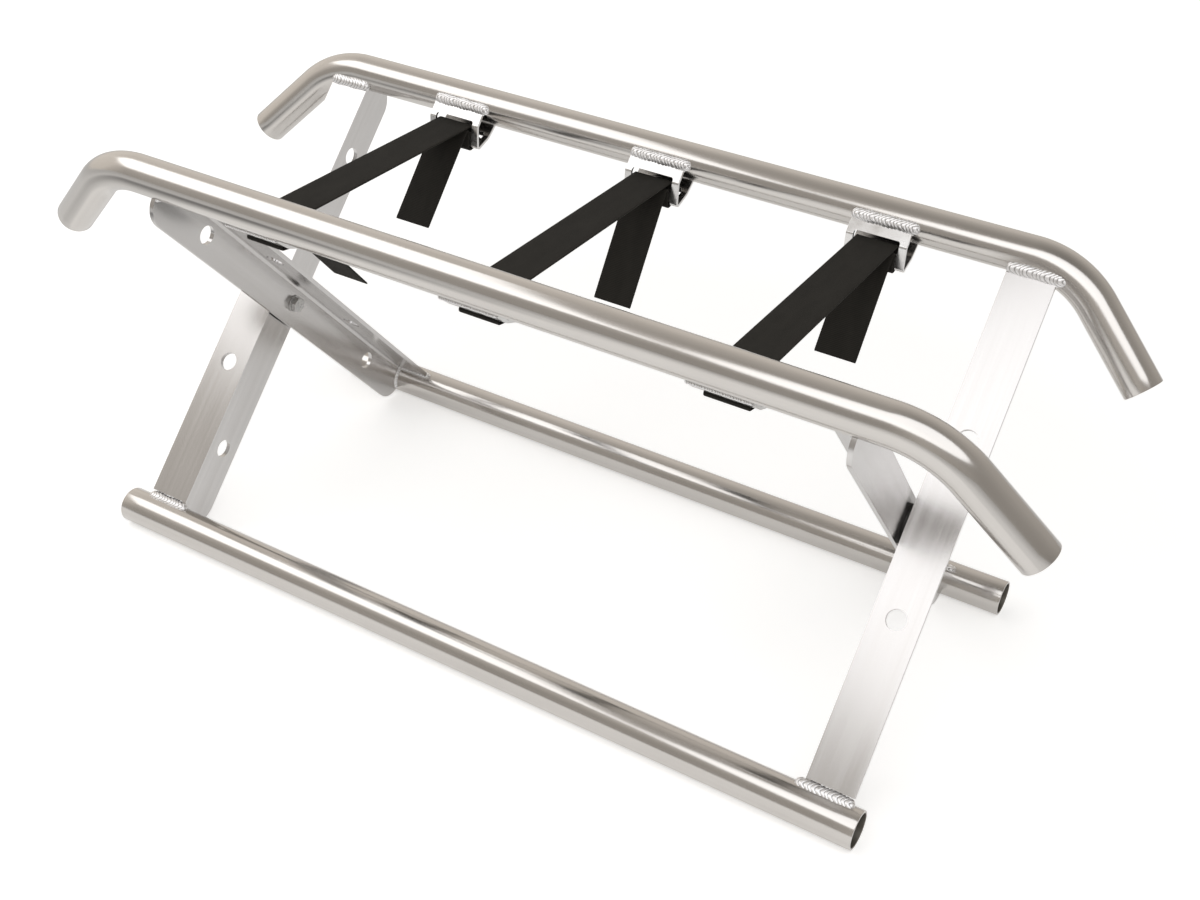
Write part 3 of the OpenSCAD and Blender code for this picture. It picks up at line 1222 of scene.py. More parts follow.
@dataclass(frozen=True)
class LegBeads:
    """Beads at both ends of a frame's two legs: over the flange's end and round the web.

    Attributes:
        rail: Side of the frame's top rail.
        top_at: Place of a top flange bead's middle, along the leg and above its web's middle.
        foot_at: The same at the foot, where the flange's cut end shows above the bead.
        flange: Section of the flange beads.
        flange_lean: Lean of their crowns back over the flange, from square to it.
        toe_taper: Length of their narrowing at the toe beside how far they run on there.
        long_run: How far a right leg's flange bead runs on to the tube, past the web at
            the foot and past the toe at the top.
        short_run: How far a left leg's does there, and every foot bead past the toe.
        web_run: How far every top bead runs on past the web.
        web: Section of the web beads.
        web_crown_to: Direction of their crowns, out of the web and off the tube.
        web_round_at: Distance from the pivot to the middle of the web's round end.
    """

    rail: Rail
    top_at: tuple[float, float] = (322.5 * MM, 29.5 * MM)
    foot_at: tuple[float, float] = (324.5 * MM, 27.5 * MM)
    flange: BeadSize = BeadSize(5.0 * MM, 8.8 * MM, 5.2 * MM, 0.8 * MM)
    flange_lean: float = math.radians(22)
    toe_taper: float = 1.2
    long_run: float = 11 * MM
    short_run: float = 3 * MM
    web_run: float = 2 * MM
    web: BeadSize = BeadSize(3.0 * MM, 4.2 * MM, 4.16 * MM, 0.48 * MM)
    web_crown_to: tuple[float, float] = (0.8, 0.6)
    web_round_at: float = 310 * MM

    def web_start(self) -> float:
        """Distance of the frame's webs from the middle of the stand."""
        return SIZES.outer_web_x if self.rail is Rail.FAR else SIZES.inner_web_x

    def flange_bead(self, end: int, past_web: float, past_toe: float) -> Bead:
        """Lays a bead across the flange, from the web to the toe.

        Args:
            end: 1 at the top rail and -1 at the foot tube.
            past_web: How far the bead runs on past the web.
            past_toe: How far it runs on past the flange's toe.

        Returns:
            The bead, drawn about the pivot.
        """
        x = np.linspace(-past_web, SIZES.angle_w + past_toe, PATH_POINTS)
        x = self.web_start() + self.rail.value * x
        along, rise = self.top_at if end > 0 else self.foot_at
        path = np.stack([x, np.full_like(x, end * along), np.full_like(x, rise)], axis=1)
        lean = [0.0, -end * math.sin(self.flange_lean), math.cos(self.flange_lean)]
        return Bead(path, np.tile(lean, (len(x), 1)), self.flange, self.toe_taper * past_toe)

    def web_bead(self, end: int) -> Bead:
        """Lays a bead where the web's round end meets the tube.

        It is an arc about the tube's axis. Its half angle comes from the law of
        cosines, on the tube's radius, the round end's radius and the distance c
        between their middles.

        Args:
            end: 1 at the top rail and -1 at the foot tube.

        Returns:
            The bead, drawn about the pivot.
        """
        reach = SIZES.half_pitch - self.web_round_at
        middle = math.pi + math.atan2(SIZES.tube_rise, reach)
        c = math.hypot(reach, SIZES.tube_rise)
        top = c ** 2 + SIZES.tube_r ** 2 - (SIZES.angle_w / 2) ** 2
        half = math.acos(top / (2 * c * SIZES.tube_r))
        t = np.linspace(middle - half, middle + half, PATH_POINTS)
        x = np.full_like(t, self.web_start() + self.rail.value * SIZES.angle_t)
        y = end * (SIZES.half_pitch + SIZES.tube_r * np.cos(t))
        z = SIZES.tube_rise + SIZES.tube_r * np.sin(t)
        out_x, off_tube = self.web_crown_to
        out = [np.full_like(t, self.rail.value * out_x), end * np.cos(t) * off_tube, np.sin(t) * off_tube]
        return Bead(np.stack([x, y, z], axis=1), np.stack(out, axis=1), self.web)

    def surfaces(self) -> list[Surface]:
        """Lays the four beads of each leg, on both sides of the stand.

        Returns:
            Skins of the eight beads, in the stand's frame.
        """
        laid = []
        for side in Side:
            run_on = self.long_run if side is Side.RIGHT else self.short_run
            foot = self.flange_bead(-1, run_on, self.short_run)
            top = self.flange_bead(1, self.web_run, run_on)
            for bead in (foot, self.web_bead(-1), top, self.web_bead(1)):
                skin = bead.surface()
                points = from_leg(skin.points, self.rail)
                laid.append(Surface(points * [side.value, 1, 1], skin.lay))
        return laid


@dataclass(frozen=True)
class BracketBeads:
    """Beads that hold a frame's three strap brackets to its rail.

    Attributes:
        rail: Side of the frame's top rail.
        top_at: Place of the upper bead's middle, inwards and up from the rail's axis.
        top_crown_to: Direction of its crown, inwards and up.
        top: Its section.
        run_on: How far it goes on past its bracket's left and right ends.
        under_at: Place of the lower bead's middle, whose crown points straight out.
        under: Its section.
    """

    rail: Rail
    top_at: tuple[float, float] = (23.7 * MM, 3.6 * MM)
    top_crown_to: tuple[float, float] = (0.90, 0.44)
    top: BeadSize = BeadSize(4.6 * MM, 8.6 * MM, 5.0 * MM, 1.1 * MM)
    run_on: tuple[float, float] = (2 * MM, 8 * MM)
    under_at: tuple[float, float] = (-8 * MM, -24.6 * MM)
    under: BeadSize = BeadSize(2.5 * MM, 3.6 * MM, 3.0 * MM, 0.66 * MM)

    def bead(self, ends: tuple, place: tuple, crown_to: tuple, size: BeadSize) -> Bead:
        """Lays a bead along the rail across one bracket.

        Args:
            ends: Where the bead starts and stops along the rail.
            place: Inwards and up from the rail's axis.
            crown_to: Direction of the crown, inwards and up.
            size: Section and ripples.

        Returns:
            The bead, in the stand's frame.
        """
        run = np.linspace(*ends, PATH_POINTS)
        y = np.full_like(run, self.rail.value * (SIZES.rail_y - place[0]))
        path = np.stack([run, y, np.full_like(run, SIZES.rail_z + place[1])], axis=1)
        out = np.tile([0.0, -self.rail.value * crown_to[0], crown_to[1]], (len(run), 1))
        return Bead(path, out, size)

    def surfaces(self) -> list[Surface]:
        """Lays an upper and a lower bead on each bracket.

        Returns:
            Skins of the six beads, in the stand's frame.
        """
        laid = []
        for place in Position:
            start = place.value * SIZES.bracket_pitch - SIZES.bracket_w / 2
            end = start + SIZES.bracket_w
            over = (start - self.run_on[0], end + self.run_on[1])
            laid.append(self.bead(over, self.top_at, self.top_crown_to, self.top).surface())
            laid.append(self.bead((start, end), self.under_at, self.under_at, self.under).surface())
        return laid


@dataclass(frozen=True)
class WeldedFrame:
    """One frame of the scissor: top rail, foot tube, two legs, brackets and beads.

    Attributes:
        rail: Side of its top rail.
        tube: Finish of the tubes.
        angle: Finish of the legs.
        sheet: Finish of the brackets.
        bead: Finish of the beads.
        leg_ease: Width of the legs' broken edges.
        sheet_ease: Width of the brackets' broken edges.
        bead_crisp: Angle past which an edge on a bead stays sharp.
    """

    rail: Rail
    tube: Material
    angle: Material
    sheet: Material
    bead: Material
    leg_ease: float = 1.0 * MM
    sheet_ease: float = 0.7 * MM
    bead_crisp: float = math.radians(75)

    @property
    def prefix(self) -> str:
        """First word of the frame's nodes."""
        return "outer" if self.rail is Rail.FAR else "inner"

    @property
    def body(self) -> str:
        """Body that the frame is."""
        return self.prefix + "_frame"

    def build(self) -> None:
        """Builds the tubes, legs, brackets and beads in that order."""
        rail, foot = self.prefix + "_top_rail", self.prefix + "_foot"
        TopRail(self.rail).build(rail + "_tube", rail, self.body, self.tube)
        FootTube(self.rail).build(foot + "_tube", self.prefix + "_bottom_tube", self.body, self.tube)
        for side in Side:
            node = f"{self.prefix}_leg_{side.name.lower()}"
            EasedPart(self.leg_ease).build(node, self.body, "angle", self.angle)
        for place in Position:
            node = f"{self.prefix}_bracket_{place.name.lower()}"
            EasedPart(self.sheet_ease).build(node, self.body, "bracket_sheet", self.sheet)
        self.lay_beads("leg_welds", LegBeads(self.rail).surfaces())
        self.lay_beads("bracket_welds", BracketBeads(self.rail).surfaces())

    def lay_beads(self, name: str, surfaces: list[Surface]) -> None:
        """Makes one piece of a group of beads.

        Args:
            name: Second part of the node's name.
            surfaces: Skins of the beads.
        """
        node = f"{self.prefix}_{name}"
        piece = placed(mesh_from(node + "_rippled", surfaces, self.bead_crisp), self.bead)
        attached(piece, self.body, "weld_bead", node)


@dataclass(frozen=True)
class Pivot:
    """Bolt, washers, spacer and lock nut on one side, stacked along X.

    Places along the stack are distances inwards from the outer leg's web, so the
    nut stands outside it and the bolt's head is on the inner leg. A name that ends in
    _r is a radius, in _h or _t a height or thickness, in _ease the radius of an edge
    and in _rows a number of rows. A cone cuts the corners of both hexagons: a bevel is
    how far its rows reach from the face, and a cut how far inside the flats it starts.

    Attributes:
        side: End of the stand.
        steel: Finish of the bolt, the nut and the washers.
        spacer: Finish of the spacer.
        lock: Finish of the nut's locking ring.
        body: Body that all six pieces ride on.
        columns: Points round each piece.
        face_gap: Gap at each face that turns on another.
        flats: Width of the bolt's head and of the nut across flats.
        cone_slope: Growth of the cones' radius with the distance from the face.
        shank_start: Distance from the nut to where the plain shank starts.
        past_nut: How far the bolt stands out of the nut.
        point_r: Radius of the bolt's end face.
        point_len: Distance from there to the first row of the thread.
        point_share: Share of its full radius that the thread has at the bolt's end.
        point_taper: Length over which it reaches the full radius.
        groove_slope: Steepness of the thread's sides.
        crest: Share of the thread's depth that its flat crest is cut down by.
        head_edge: Bevel on the underside of the head.
        dish_r: Radius of the shallow dish in the head's face.
        dish_rim: Depth at its rim.
        dish_depth: Depth in its middle.
        nut_bore_bevel: Bevel at the mouth of the nut's bore.
        collar_root: Where the nut's collar meets the hexagon: drop of the first row,
            how far it stands out from the collar, and drop of the second.
        ring_sunk: Depth of the locking ring inside the collar.
    """

    side: Side
    steel: Material
    spacer: Material
    lock: Material
    body: str = "outer_frame"
    columns: int = 96
    face_gap: float = 0.1 * MM
    flats: float = 19 * MM
    cone_slope: float = 2.0

    bolt_r: float = 6 * MM
    shank_r: float = 5.98 * MM
    shank_start: float = 0.2 * MM
    past_nut: float = 3 * MM
    point_r: float = 4.8 * MM
    point_len: float = 0.9 * MM
    point_share: float = 0.86
    point_taper: float = 1.6 * MM
    thread_pitch: float = 1.75 * MM
    thread_depth: float = 0.95 * MM
    thread_rows: int = 10
    groove_slope: float = 1.25
    crest: float = 0.12
    head_h: float = 7.5 * MM
    head_edge: float = 0.3 * MM
    head_bevel: float = 1.3 * MM
    head_cut: float = 0.5 * MM
    head_bevel_rows: int = 9
    dish_r: float = 7.9 * MM
    dish_rim: float = 0.15 * MM
    dish_depth: float = 0.25 * MM

    nut_h: float = 12 * MM
    nut_bore_r: float = 6.05 * MM
    nut_bore_bevel: float = 0.6 * MM
    nut_bevel: float = 1.2 * MM
    nut_cut: float = 0.4 * MM
    nut_bevel_rows: int = 7
    collar_r: float = 8.5 * MM
    collar_h: float = 4 * MM
    collar_ease: float = 0.9 * MM
    collar_root: tuple[float, float, float] = (0.05 * MM, 0.2 * MM, 0.3 * MM)
    ring_r: float = 7.5 * MM
    ring_h: float = 2.6 * MM
    ring_sunk: float = 0.4 * MM
    ring_ease: float = 0.25 * MM

    washer_r: float = 12 * MM
    washer_t: float = 2.5 * MM
    washer_bore_r: float = 6.4 * MM
    washer_ease: float = 0.3 * MM
    spacer_r: float = 25 * MM
    spacer_ease: float = 0.5 * MM

    @property
    def nut_base(self) -> float:
        """Face of the washer that the nut sits on."""
        return -self.washer_t

    @property
    def collar_end(self) -> float:
        """End of the nut's collar."""
        return self.nut_base - self.nut_h

    @property
    def inner_face(self) -> float:
        """Inner face of the inner leg's web, with the running gap beside it."""
        return 2 * SIZES.angle_t + SIZES.web_gap + self.face_gap

    @property
    def head_base(self) -> float:
        """Underside of the bolt's head."""
        return self.inner_face + self.washer_t

    @property
    def hexagon(self) -> np.ndarray:
        """Radius of the hexagon at each column: apothem over cos of the angle off a flat."""
        t = round_angles(self.columns)
        return self.flats / 2 / np.cos(t % (TURN / 6) - TURN / 12)

    def bevelled(self, start: float, end: float, face: float, cut: float, count: int) -> list[tuple]:
        """Rows of a hexagon whose corners a cone cuts at one face.

        The cone's radius is half of the width across flats less the cut at the face,
        and grows from there by the slope times the distance.

        Args:
            start: Place of the first row.
            end: Place of the last row.
            face: Place of the face.
            cut: How far inside the flats the cone is there.
            count: Number of rows.

        Returns:
            Place and radii of each row.
        """
        inner_r = self.flats / 2 - cut
        places = np.linspace(start, end, count)
        return [(x, np.minimum(self.hexagon, inner_r + self.cone_slope * abs(x - face))) for x in places]

    def turned(self, name: str, rows: list[tuple], closed: bool, slot: str, material: Material) -> Piece:
        """Builds a piece as rows of radii along the bolt's axis.

        Args:
            name: Second part of the node's name.
            rows: Distance along the stack with a radius, or a radius for each column.
            closed: Whether the rows go round a ring's section.
            slot: Name of a material slot, passed on to attached, which does not use it.
            material: Finish of the piece.

        Returns:
            The finished piece.
        """
        along = np.array([row[0] for row in rows])
        radii = np.stack([np.broadcast_to(row[1], (self.columns,)) for row in rows])
        x = self.side.value * (SIZES.outer_web_x + SIZES.angle_t - along)
        centres = np.stack([x, 0 * x, 0 * x + SIZES.pivot_z], axis=1)
        across, up = np.tile([0.0, 0.0, 1.0], (len(x), 1)), np.tile([0.0, 1.0, 0.0], (len(x), 1))
        surface = swept(centres, across, up, radii, along, closed, self.columns)
        node = f"{name}_{self.side.name.lower()}"
        piece = placed(mesh_from(node + "_turned", [surface]), material)
        return attached(piece, self.body, slot, node)

    def ring(self, start: float, end: float, inner: float, outer: float, ease: float) -> list[tuple]:
        """Rows round the section of a ring whose edges have a radius of ease."""
        return [tuple(row) for row in wall_profile(np.linspace(start, end, 3), outer, inner, ease)]

    def bolt_rows(self) -> list[tuple]:
        """Rows of the bolt: a pointed threaded end, the shank and the bevelled head.

        The thread's radius is the bolt's less its depth times a triangle wave of the
        place over the pitch plus the turn about the axis, so that its crest is a
        helix, right-handed on both sides of the stand.

        Returns:
            Place and radius, or a radius for each column, of each row.
        """
        end = self.collar_end - self.past_nut
        t = np.arange(self.columns) / self.columns
        rows = [(end, 0.0), (end, self.point_r)]
        for x in np.arange(end + self.point_len, self.nut_base, self.thread_pitch / self.thread_rows):
            phase = (-self.side.value * x / self.thread_pitch + t) % 1
            groove = np.clip(np.abs(2 * phase - 1) * self.groove_slope - self.crest, 0, 1)
            rise = min(1.0, (x - end) / self.point_taper)
            share = self.point_share + (1 - self.point_share) * rise
            rows.append((x, (self.bolt_r - self.thread_depth * groove) * share))
        base, top = self.head_base, self.head_base + self.head_h
        rows += [(self.nut_base + self.shank_start, self.shank_r), (base, self.shank_r)]
        rows += [(base, self.hexagon - self.head_edge), (base + self.head_edge, self.hexagon)]
        rows += self.bevelled(top - self.head_bevel, top, top, self.head_cut, self.head_bevel_rows)
        return rows + [(top - self.dish_rim, self.dish_r), (top - self.dish_depth, 0.0)]

    def nut_rows(self) -> list[tuple]:
        """Rows round the lock nut: bore, bevelled hexagon, collar and ring's seat.

        Returns:
            Place and radius, or a radius for each column, of each row.
        """
        base, end = self.nut_base, self.collar_end
        shoulder = end + self.collar_h
        step, out, drop = self.collar_root
        bore, ease = self.nut_bore_r, self.collar_ease
        rows = [(end + self.ring_h, bore), (base - self.nut_bore_bevel, bore)]
        rows.append((base, bore + self.nut_bore_bevel))
        cut, count = self.nut_cut, self.nut_bevel_rows
        rows += self.bevelled(base, base - self.nut_bevel, base, cut, count)
        rows += self.bevelled(shoulder + self.nut_bevel, shoulder, shoulder, cut, count)
        rows += [(shoulder - step, self.collar_r + out), (shoulder - drop, self.collar_r)]
        for turn in np.linspace(0, math.pi / 2, EDGE_POINTS):
            rows.append((end + ease * (1 - math.sin(turn)), self.collar_r - ease * (1 - math.cos(turn))))
        return rows + [(end, self.ring_r), (end + self.ring_h, self.ring_r)]

    def build(self) -> None:
        """Builds the six pieces of the stack."""
        end, bore = self.collar_end, self.washer_bore_r
        gap_start, gap_end = SIZES.angle_t + self.face_gap, SIZES.angle_t + SIZES.web_gap - self.face_gap
        head_washer = self.ring(self.inner_face, self.head_base, bore, self.washer_r, self.washer_ease)
        spacer = self.ring(gap_start, gap_end, bore, self.spacer_r, self.spacer_ease)
        nut_washer = self.ring(self.nut_base, 0.0, bore, self.washer_r, self.washer_ease)
        ring_start, ring_end = end + self.ring_sunk, end + self.ring_h
        lock = self.ring(ring_start, ring_end, self.nut_bore_r, self.ring_r, self.ring_ease)
        self.turned("pivot_bolt", self.bolt_rows(), False, "fastener_steel", self.steel)
        self.turned("pivot_head_washer", head_washer, True, "fastener_steel", self.steel)
        self.turned("pivot_spacer", spacer, True, "spacer_nylon", self.spacer)
        self.turned("pivot_nut_washer", nut_washer, True, "fastener_steel", self.steel)
        self.turned("pivot_nut", self.nut_rows(), True, "fastener_steel", self.steel)
        self.turned("pivot_nut_ring", lock, True, "lock_ring", self.lock)


@dataclass(frozen=True)
class Strap:
    """Webbing strap from rail to rail, threaded through a bracket at both ends.

    Attributes:
        place: Which of the three straps it is.
        far_tail: Fall in degrees and length of the spare end at the far rail.
        near_tail: The same at the near rail.
        corners: Corners of a threaded end, inwards and up from the rail's axis, in
            millimetres.
        corner_r: Radius of each, in millimetres.
        arc_steps: Steps round each corner.
        width: Width of the webbing.
        thickness: Its thickness.
        rib_pitch: Distance between ribs.
        rib_height: How far they stand up from the flats and sink below them.
        rows_per_rib: Rows laid on each rib.
        flat_columns: Points across each flat.
        edge_columns: Points round each selvedge.
        tip_len: Length over which the ends are drawn in.
        tip_thin: Thickness left at the very end, as a share.
        tip_narrow: Width left there.
        crisp: Angle past which an edge stays sharp.
    """

    place: Position
    far_tail: tuple[float, float]
    near_tail: tuple[float, float]
    corners: tuple = ((31.5, -19.0), (31.5, -33.5), (9.0, -47.8), (42.4, -53.8), (42.4, -17.4))
    corner_r: tuple = (4, 3, 3, 5.5, 3.2)
    arc_steps: int = 10
    width: float = 55 * MM
    thickness: float = 2.4 * MM
    rib_pitch: float = 2.2 * MM
    rib_height: float = 0.10 * MM
    rows_per_rib: int = 4
    flat_columns: int = 9
    edge_columns: int = 6
    tip_len: float = 2.0 * MM
    tip_thin: float = 0.55
    tip_narrow: float = 0.985
    crisp: float = math.radians(60)

    def end_route(self, rail: Rail, tail: tuple[float, float]) -> np.ndarray:
        """Places the corners of one end, from the slot outwards.

        The webbing goes in at the front slot, down behind the bar, out of the slot
        below, round the bar's corner and up its front, and turns over to hang down.

        Args:
            rail: Rail that carries the bracket.
            tail: Fall in degrees and length of the spare end.

        Returns:
            The corners as y and z, with the tip last.
        """
        loop = np.array(self.corners) * MM
        fall = math.radians(tail[0])
        tip = loop[-1] + tail[1] * np.array([math.cos(fall), -math.sin(fall)])
        route = np.concatenate([loop, [tip]])
        return np.stack([rail.value * (SIZES.rail_y - route[:, 0]), SIZES.rail_z + route[:, 1]], axis=1)

    def route(self) -> np.ndarray:
        """Joins both ends and rounds the corners.

        Returns:
            The whole route as y and z, from the near tip to the far tip.
        """
        near = self.end_route(Rail.NEAR, self.near_tail)
        far = self.end_route(Rail.FAR, self.far_tail)
        radii = [r * MM for r in self.corner_r]
        return rounded_path(np.concatenate([near[::-1], far]), radii[::-1] + radii, self.arc_steps)

    def length(self) -> float:
        """Real length of the webbing."""
        return float(run_along(self.route())[-1])

    def section(self) -> np.ndarray:
        """Works out the webbing's section: two flats joined by rounded selvedges.

        Returns:
            Rows of width and height, round the section.
        """
        half_t = self.thickness / 2
        flat_end = self.width / 2 - half_t
        flat = np.linspace(-flat_end, flat_end, self.flat_columns)
        turn = np.linspace(math.pi / 2, -math.pi / 2, self.edge_columns + 2)[1:-1]
        right = np.stack([flat_end + half_t * np.cos(turn), half_t * np.sin(turn)], axis=1)
        top = np.stack([flat, np.full_like(flat, half_t)], axis=1)
        return np.concatenate([top, right, -top, -right])

    def surface(self) -> Surface:
        """Carries the section along the route.

        Each point moves along the route's left normal by its height in the section,
        and the flats rise and fall by a cosine of the distance to make the ribs. The
        two ends are drawn in a little, as a hot knife leaves them.

        Returns:
            The closed strip, with a pole at each tip.
        """
        route, section = self.route(), self.section()
        length, columns = self.length(), len(section)
        marks = np.linspace(0, length, int(length / self.rib_pitch * self.rows_per_rib))
        path = read_at(route, run_along(route), marks)
        run = unit(np.gradient(path, axis=0))
        normal = np.stack([-run[:, 1], run[:, 0]], axis=1)
        flatness = np.clip(np.abs(section[:, 1]) / (self.thickness / 2), 0, 1) ** 4
        rib = self.rib_height * np.cos(marks * TURN / self.rib_pitch)
        high = section[None, :, 1] + rib[:, None] * flatness * np.sign(section[None, :, 1])
        draw = np.clip(np.minimum(marks, length - marks) / self.tip_len, 0, 1)
        high = high * (self.tip_thin + (1 - self.tip_thin) * draw)[:, None]
        wide = section[None, :, 0] * (self.tip_narrow + (1 - self.tip_narrow) * draw)[:, None]
        yz = path[:, None, :] + high[..., None] * normal[:, None, :]
        x = self.place.value * SIZES.bracket_pitch + wide
        points = np.concatenate([x[..., None], yz], axis=2)
        lay = np.stack([wide, high, np.repeat(marks[:, None], columns, axis=1)], axis=2)
        return Surface(self.with_tips(points), self.with_tips(lay))

    def with_tips(self, rows: np.ndarray) -> np.ndarray:
        """Adds a row at each end in which every point is the middle of that end's row."""
        start, end = (np.broadcast_to(rows[k].mean(axis=0), rows[:1].shape) for k in (0, -1))
        return np.concatenate([start, rows, end])

    def build(self, webbing: Material) -> Piece:
        """Builds the strap, whose route runs from one rail to the other.

        Args:
            webbing: Finish of the strap.

        Returns:
            The strap.
        """
        node = f"strap_{self.place.name.lower()}"
        piece = placed(mesh_from(node + "_webbing", [self.surface()], self.crisp), webbing)
        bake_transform(piece)
        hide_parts(node)
        LOG.info("%s is %.0f mm of %.0f mm webbing", piece.name, self.length() / MM, self.width / MM)
        return piece


@dataclass(frozen=True)
class PhotoCamera:
    """Camera at the photograph's own place, worked out from its perspective.

    Attributes:
        place: Where it stands.
        yaw: Turn to the left from looking along +Y, in radians.
        pitch: Tilt downwards.
        roll: Turn about the view.
        focal: Focal length in pixels of the photograph's width.
        photo_width: That width in pixels.
        sensor: Width of the camera's sensor in millimetres.
        far_clip: Distance past which nothing is drawn.
    """

    place: tuple[float, float, float] = (0.87607, -1.47527, 1.33717)
    yaw: float = 0.51159
    pitch: float = 0.58700
    roll: float = 0.05373
    focal: float = 1560.75
    photo_width: float = 1200.0
    sensor: float = 36.0
    far_clip: float = 60.0

    def build(self) -> None:
        """Makes the camera and gives it to the scene."""
        data = bpy.data.cameras.new("photo_camera")
        data.sensor_width = self.sensor
        data.lens = self.focal * self.sensor / self.photo_width
        data.clip_end = self.far_clip
        camera = bpy.data.objects.new("photo_camera", data)
        sy, cy = math.sin(self.yaw), math.cos(self.yaw)
        sp, cp = math.sin(self.pitch), math.cos(self.pitch)
        ahead = np.array([-sy * cp, cy * cp, -sp])
        right = np.array([cy, sy, 0.0])
        up = np.cross(right, ahead)
        sr, cr = math.sin(self.roll), math.cos(self.roll)
        columns = np.stack([right * cr + up * sr, up * cr - right * sr, -ahead], axis=1)
        turn = Matrix(columns.tolist()).to_4x4()
        camera.matrix_world = Matrix.Translation(self.place) @ turn
        bpy.context.scene.collection.objects.link(camera)
        bpy.context.scene.camera = camera


@dataclass(frozen=True)
class Softbox:
    """Broad studio light with a soft-cornered face that looks straight down.

    Attributes:
        name: Name of the light.
        middle: Middle of its face.
        size: Length and width in metres.
        turn: Turn of its length from the X axis, in degrees.
        radiance: Brightness of its face, where 1 is white.
        shape: Outline of its face.
        colour: Tone of its light.
    """

    name: str
    middle: tuple[float, float, float]
    size: tuple[float, float]
    turn: float
    radiance: float
    shape: str = "ELLIPSE"
    colour: tuple[float, float, float] = (0.985, 1.0, 1.03)

    def build(self) -> None:
        """Makes the light. Its power in watts is radiance times pi times area."""
        data = bpy.data.lights.new(self.name, "AREA")
        data.shape = self.shape
        data.size, data.size_y = self.size
        area = self.size[0] * self.size[1] * (math.pi / 4 if self.shape == "ELLIPSE" else 1)
        data.energy = self.radiance * math.pi * area
        data.color = self.colour
        light = bpy.data.objects.new(self.name, data)
        turn = Matrix.Rotation(math.radians(self.turn), 4, "Z")
        light.matrix_world = Matrix.Translation(self.middle) @ turn
        light.visible_camera = False
        bpy.context.scene.collection.objects.link(light)


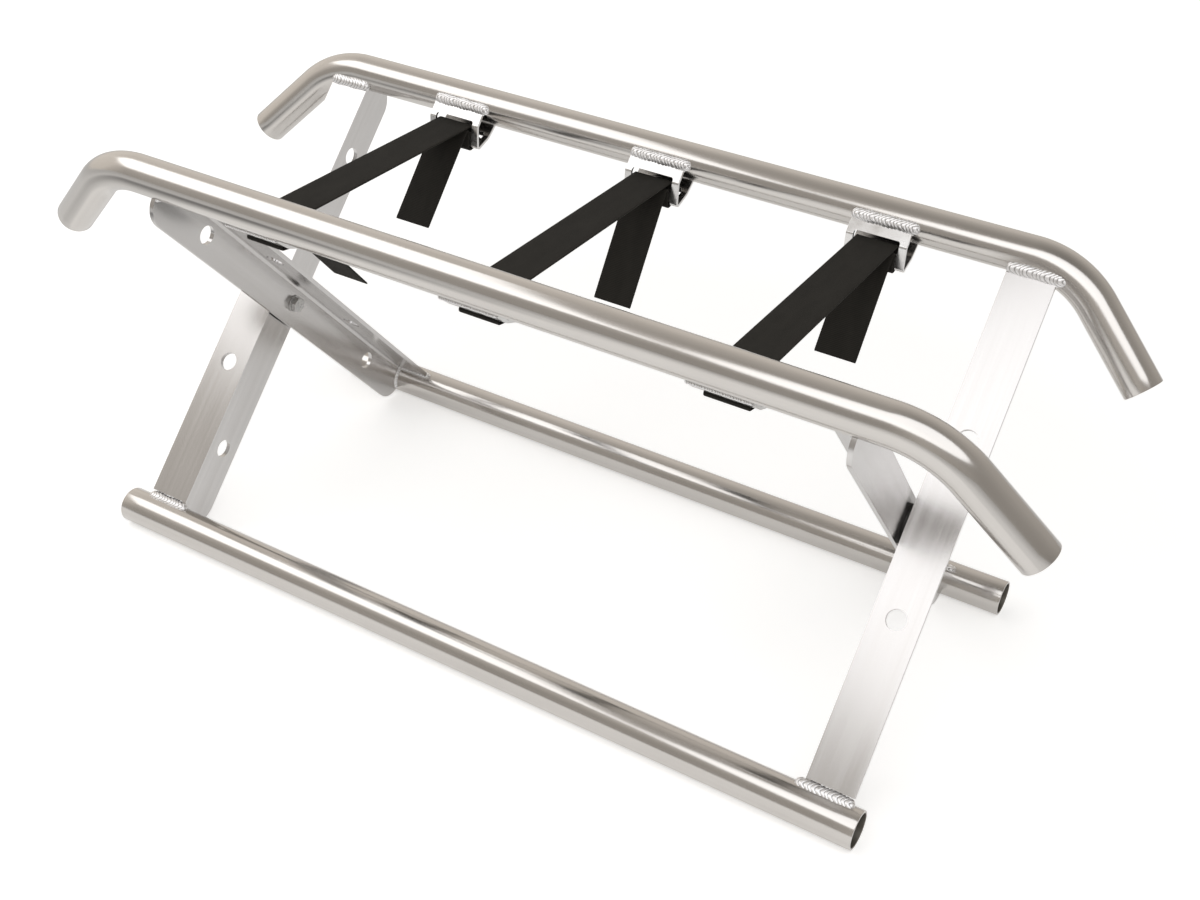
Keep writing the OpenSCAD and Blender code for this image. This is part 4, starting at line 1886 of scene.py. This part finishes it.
@dataclass(frozen=True)
class Studio:
    """Pale paper, white surroundings and the softboxes.

    Attributes:
        floor_half: Distance from the middle to the floor's edges.
        ambient: Light that comes to cloth and paper from all round.
        level: Brightness that metal sees on a wall straight ahead.
        toward: How much it grows towards +X, +Y and up.
        dome: How much it grows with the square of the height.
        back: How much it grows high up on the far side.
        darkest: Least that metal sees anywhere.
        tint: Warm tone of the walls.
        doorway: Direction of a darker stretch of the near wall.
        doorway_share: Share of the wall's brightness left there.
        doorway_span: Cosines of the angles to it at which it starts and is darkest.
        softboxes: The lights.
    """

    floor_half: float = 12.0
    ambient: float = 0.54
    level: float = 0.529
    toward: tuple[float, float, float] = (-0.239, 0.011, 0.424)
    dome: float = -0.66
    back: float = 0.143
    darkest: float = 0.1
    tint: tuple = (1.07, 1.0, 0.915)
    doorway: tuple[float, float, float] = (-0.495, -0.858, 0.139)
    doorway_share: float = 0.6
    doorway_span: tuple[float, float] = (0.80, 0.97)
    softboxes: tuple[Softbox, ...] = (
        Softbox("left_softbox", (-1.40, -0.71, 1.70), (1.78, 1.50), 6.0, 1.32, "RECTANGLE"),
        Softbox("camera_softbox", (0.95, -1.13, 1.70), (2.70, 1.92), 20.0, 1.30),
    )

    def floor(self) -> None:
        """Lays the floor, one square with its top at z = 0."""
        h = self.floor_half
        mesh = bpy.data.meshes.new("studio_floor")
        mesh.from_pydata([(-h, -h, 0), (h, -h, 0), (h, h, 0), (-h, h, 0)], [], [(0, 1, 2, 3)])
        placed(mesh, FloorFinish().material())

    def wall(self, wiring: Wiring) -> Socket:
        """Works out the brightness that metal sees in each direction.

        In a direction d it is level + toward . d + dome z^2 + back y z: pale on the
        left and at eye height, and darker on the right and overhead. Near the
        doorway's direction it falls further, by the cosine of the angle to it.

        Args:
            wiring: Wiring of the world.

        Returns:
            The brightness output.
        """
        look = wiring.node("TexCoord").outputs["Generated"]
        split = wiring.node("SeparateXYZ", {0: look})
        high = wiring.maths("MULTIPLY", split.outputs[2], split.outputs[2])
        far = wiring.maths("MULTIPLY", split.outputs[1], split.outputs[2])
        lean = wiring.measured("DOT_PRODUCT", look, self.toward)
        bent = wiring.weighed(high, self.dome, far, self.back)
        even = wiring.maths("ADD", wiring.maths("ADD", lean, bent), self.level)
        near = wiring.measured("DOT_PRODUCT", look, self.doorway)
        share = wiring.spread(near, 1.0, self.doorway_share, *self.doorway_span)
        return wiring.maths("MAXIMUM", wiring.maths("MULTIPLY", even, share), self.darkest)

    def world(self) -> None:
        """Surrounds the stand with white for the camera and a studio for the metal."""
        world = bpy.data.worlds.new("studio")
        bpy.context.scene.world = world
        wiring = Wiring(world)
        rays = wiring.node("LightPath")
        metal = wiring.node("Background", {"Color": (*self.tint, 1), "Strength": self.wall(wiring)})
        cloth = wiring.node("Background", {"Color": WHITE, "Strength": self.ambient})
        white = wiring.node("Background", {"Color": WHITE, "Strength": 1.0})
        glossy, camera = rays.outputs["Is Glossy Ray"], rays.outputs["Is Camera Ray"]
        first = wiring.node("MixShader", {0: glossy, 1: cloth.outputs[0], 2: metal.outputs[0]})
        last = wiring.node("MixShader", {0: camera, 1: first.outputs[0], 2: white.outputs[0]})
        wiring.node("OutputWorld", {"Surface": last.outputs[0]})

    def build(self) -> None:
        """Makes the floor, the world and the lights."""
        self.floor()
        self.world()
        for softbox in self.softboxes:
            softbox.build()
        bpy.context.scene.view_settings.view_transform = "Standard"


SPACER_NYLON = NylonFinish("spacer_nylon", (0.030, 0.029, 0.027), (0.060, 0.058, 0.054))
LOCK_NYLON = NylonFinish("lock_ring", (0.020, 0.024, 0.034), (0.040, 0.046, 0.060))
STRAPS = (
    Strap(Position.LEFT, (50, 150 * MM), (48, 192 * MM)),
    Strap(Position.MIDDLE, (60, 168 * MM), (50, 95 * MM)),
    Strap(Position.RIGHT, (56, 147 * MM), (50, 95 * MM)),
)


def main() -> None:
    """Builds the camera, the studio and every piece of the stand."""
    logging.basicConfig(level=logging.INFO, format="%(message)s")
    PhotoCamera().build()
    Studio().build()
    tube = TubeFinish().material()
    sheet = SheetFinish().material()
    bead = BeadFinish().material()
    steel = SteelFinish().material()
    spacer = SPACER_NYLON.material()
    lock = LOCK_NYLON.material()
    for rail in Rail:
        WeldedFrame(rail, tube, AngleFinish(rail=rail).material(), sheet, bead).build()
    for side in Side:
        Pivot(side, steel, spacer, lock).build()
    webbing = WebbingFinish().material()
    for strap in STRAPS:
        strap.build(webbing)


if __name__ == "__main__":
    main()
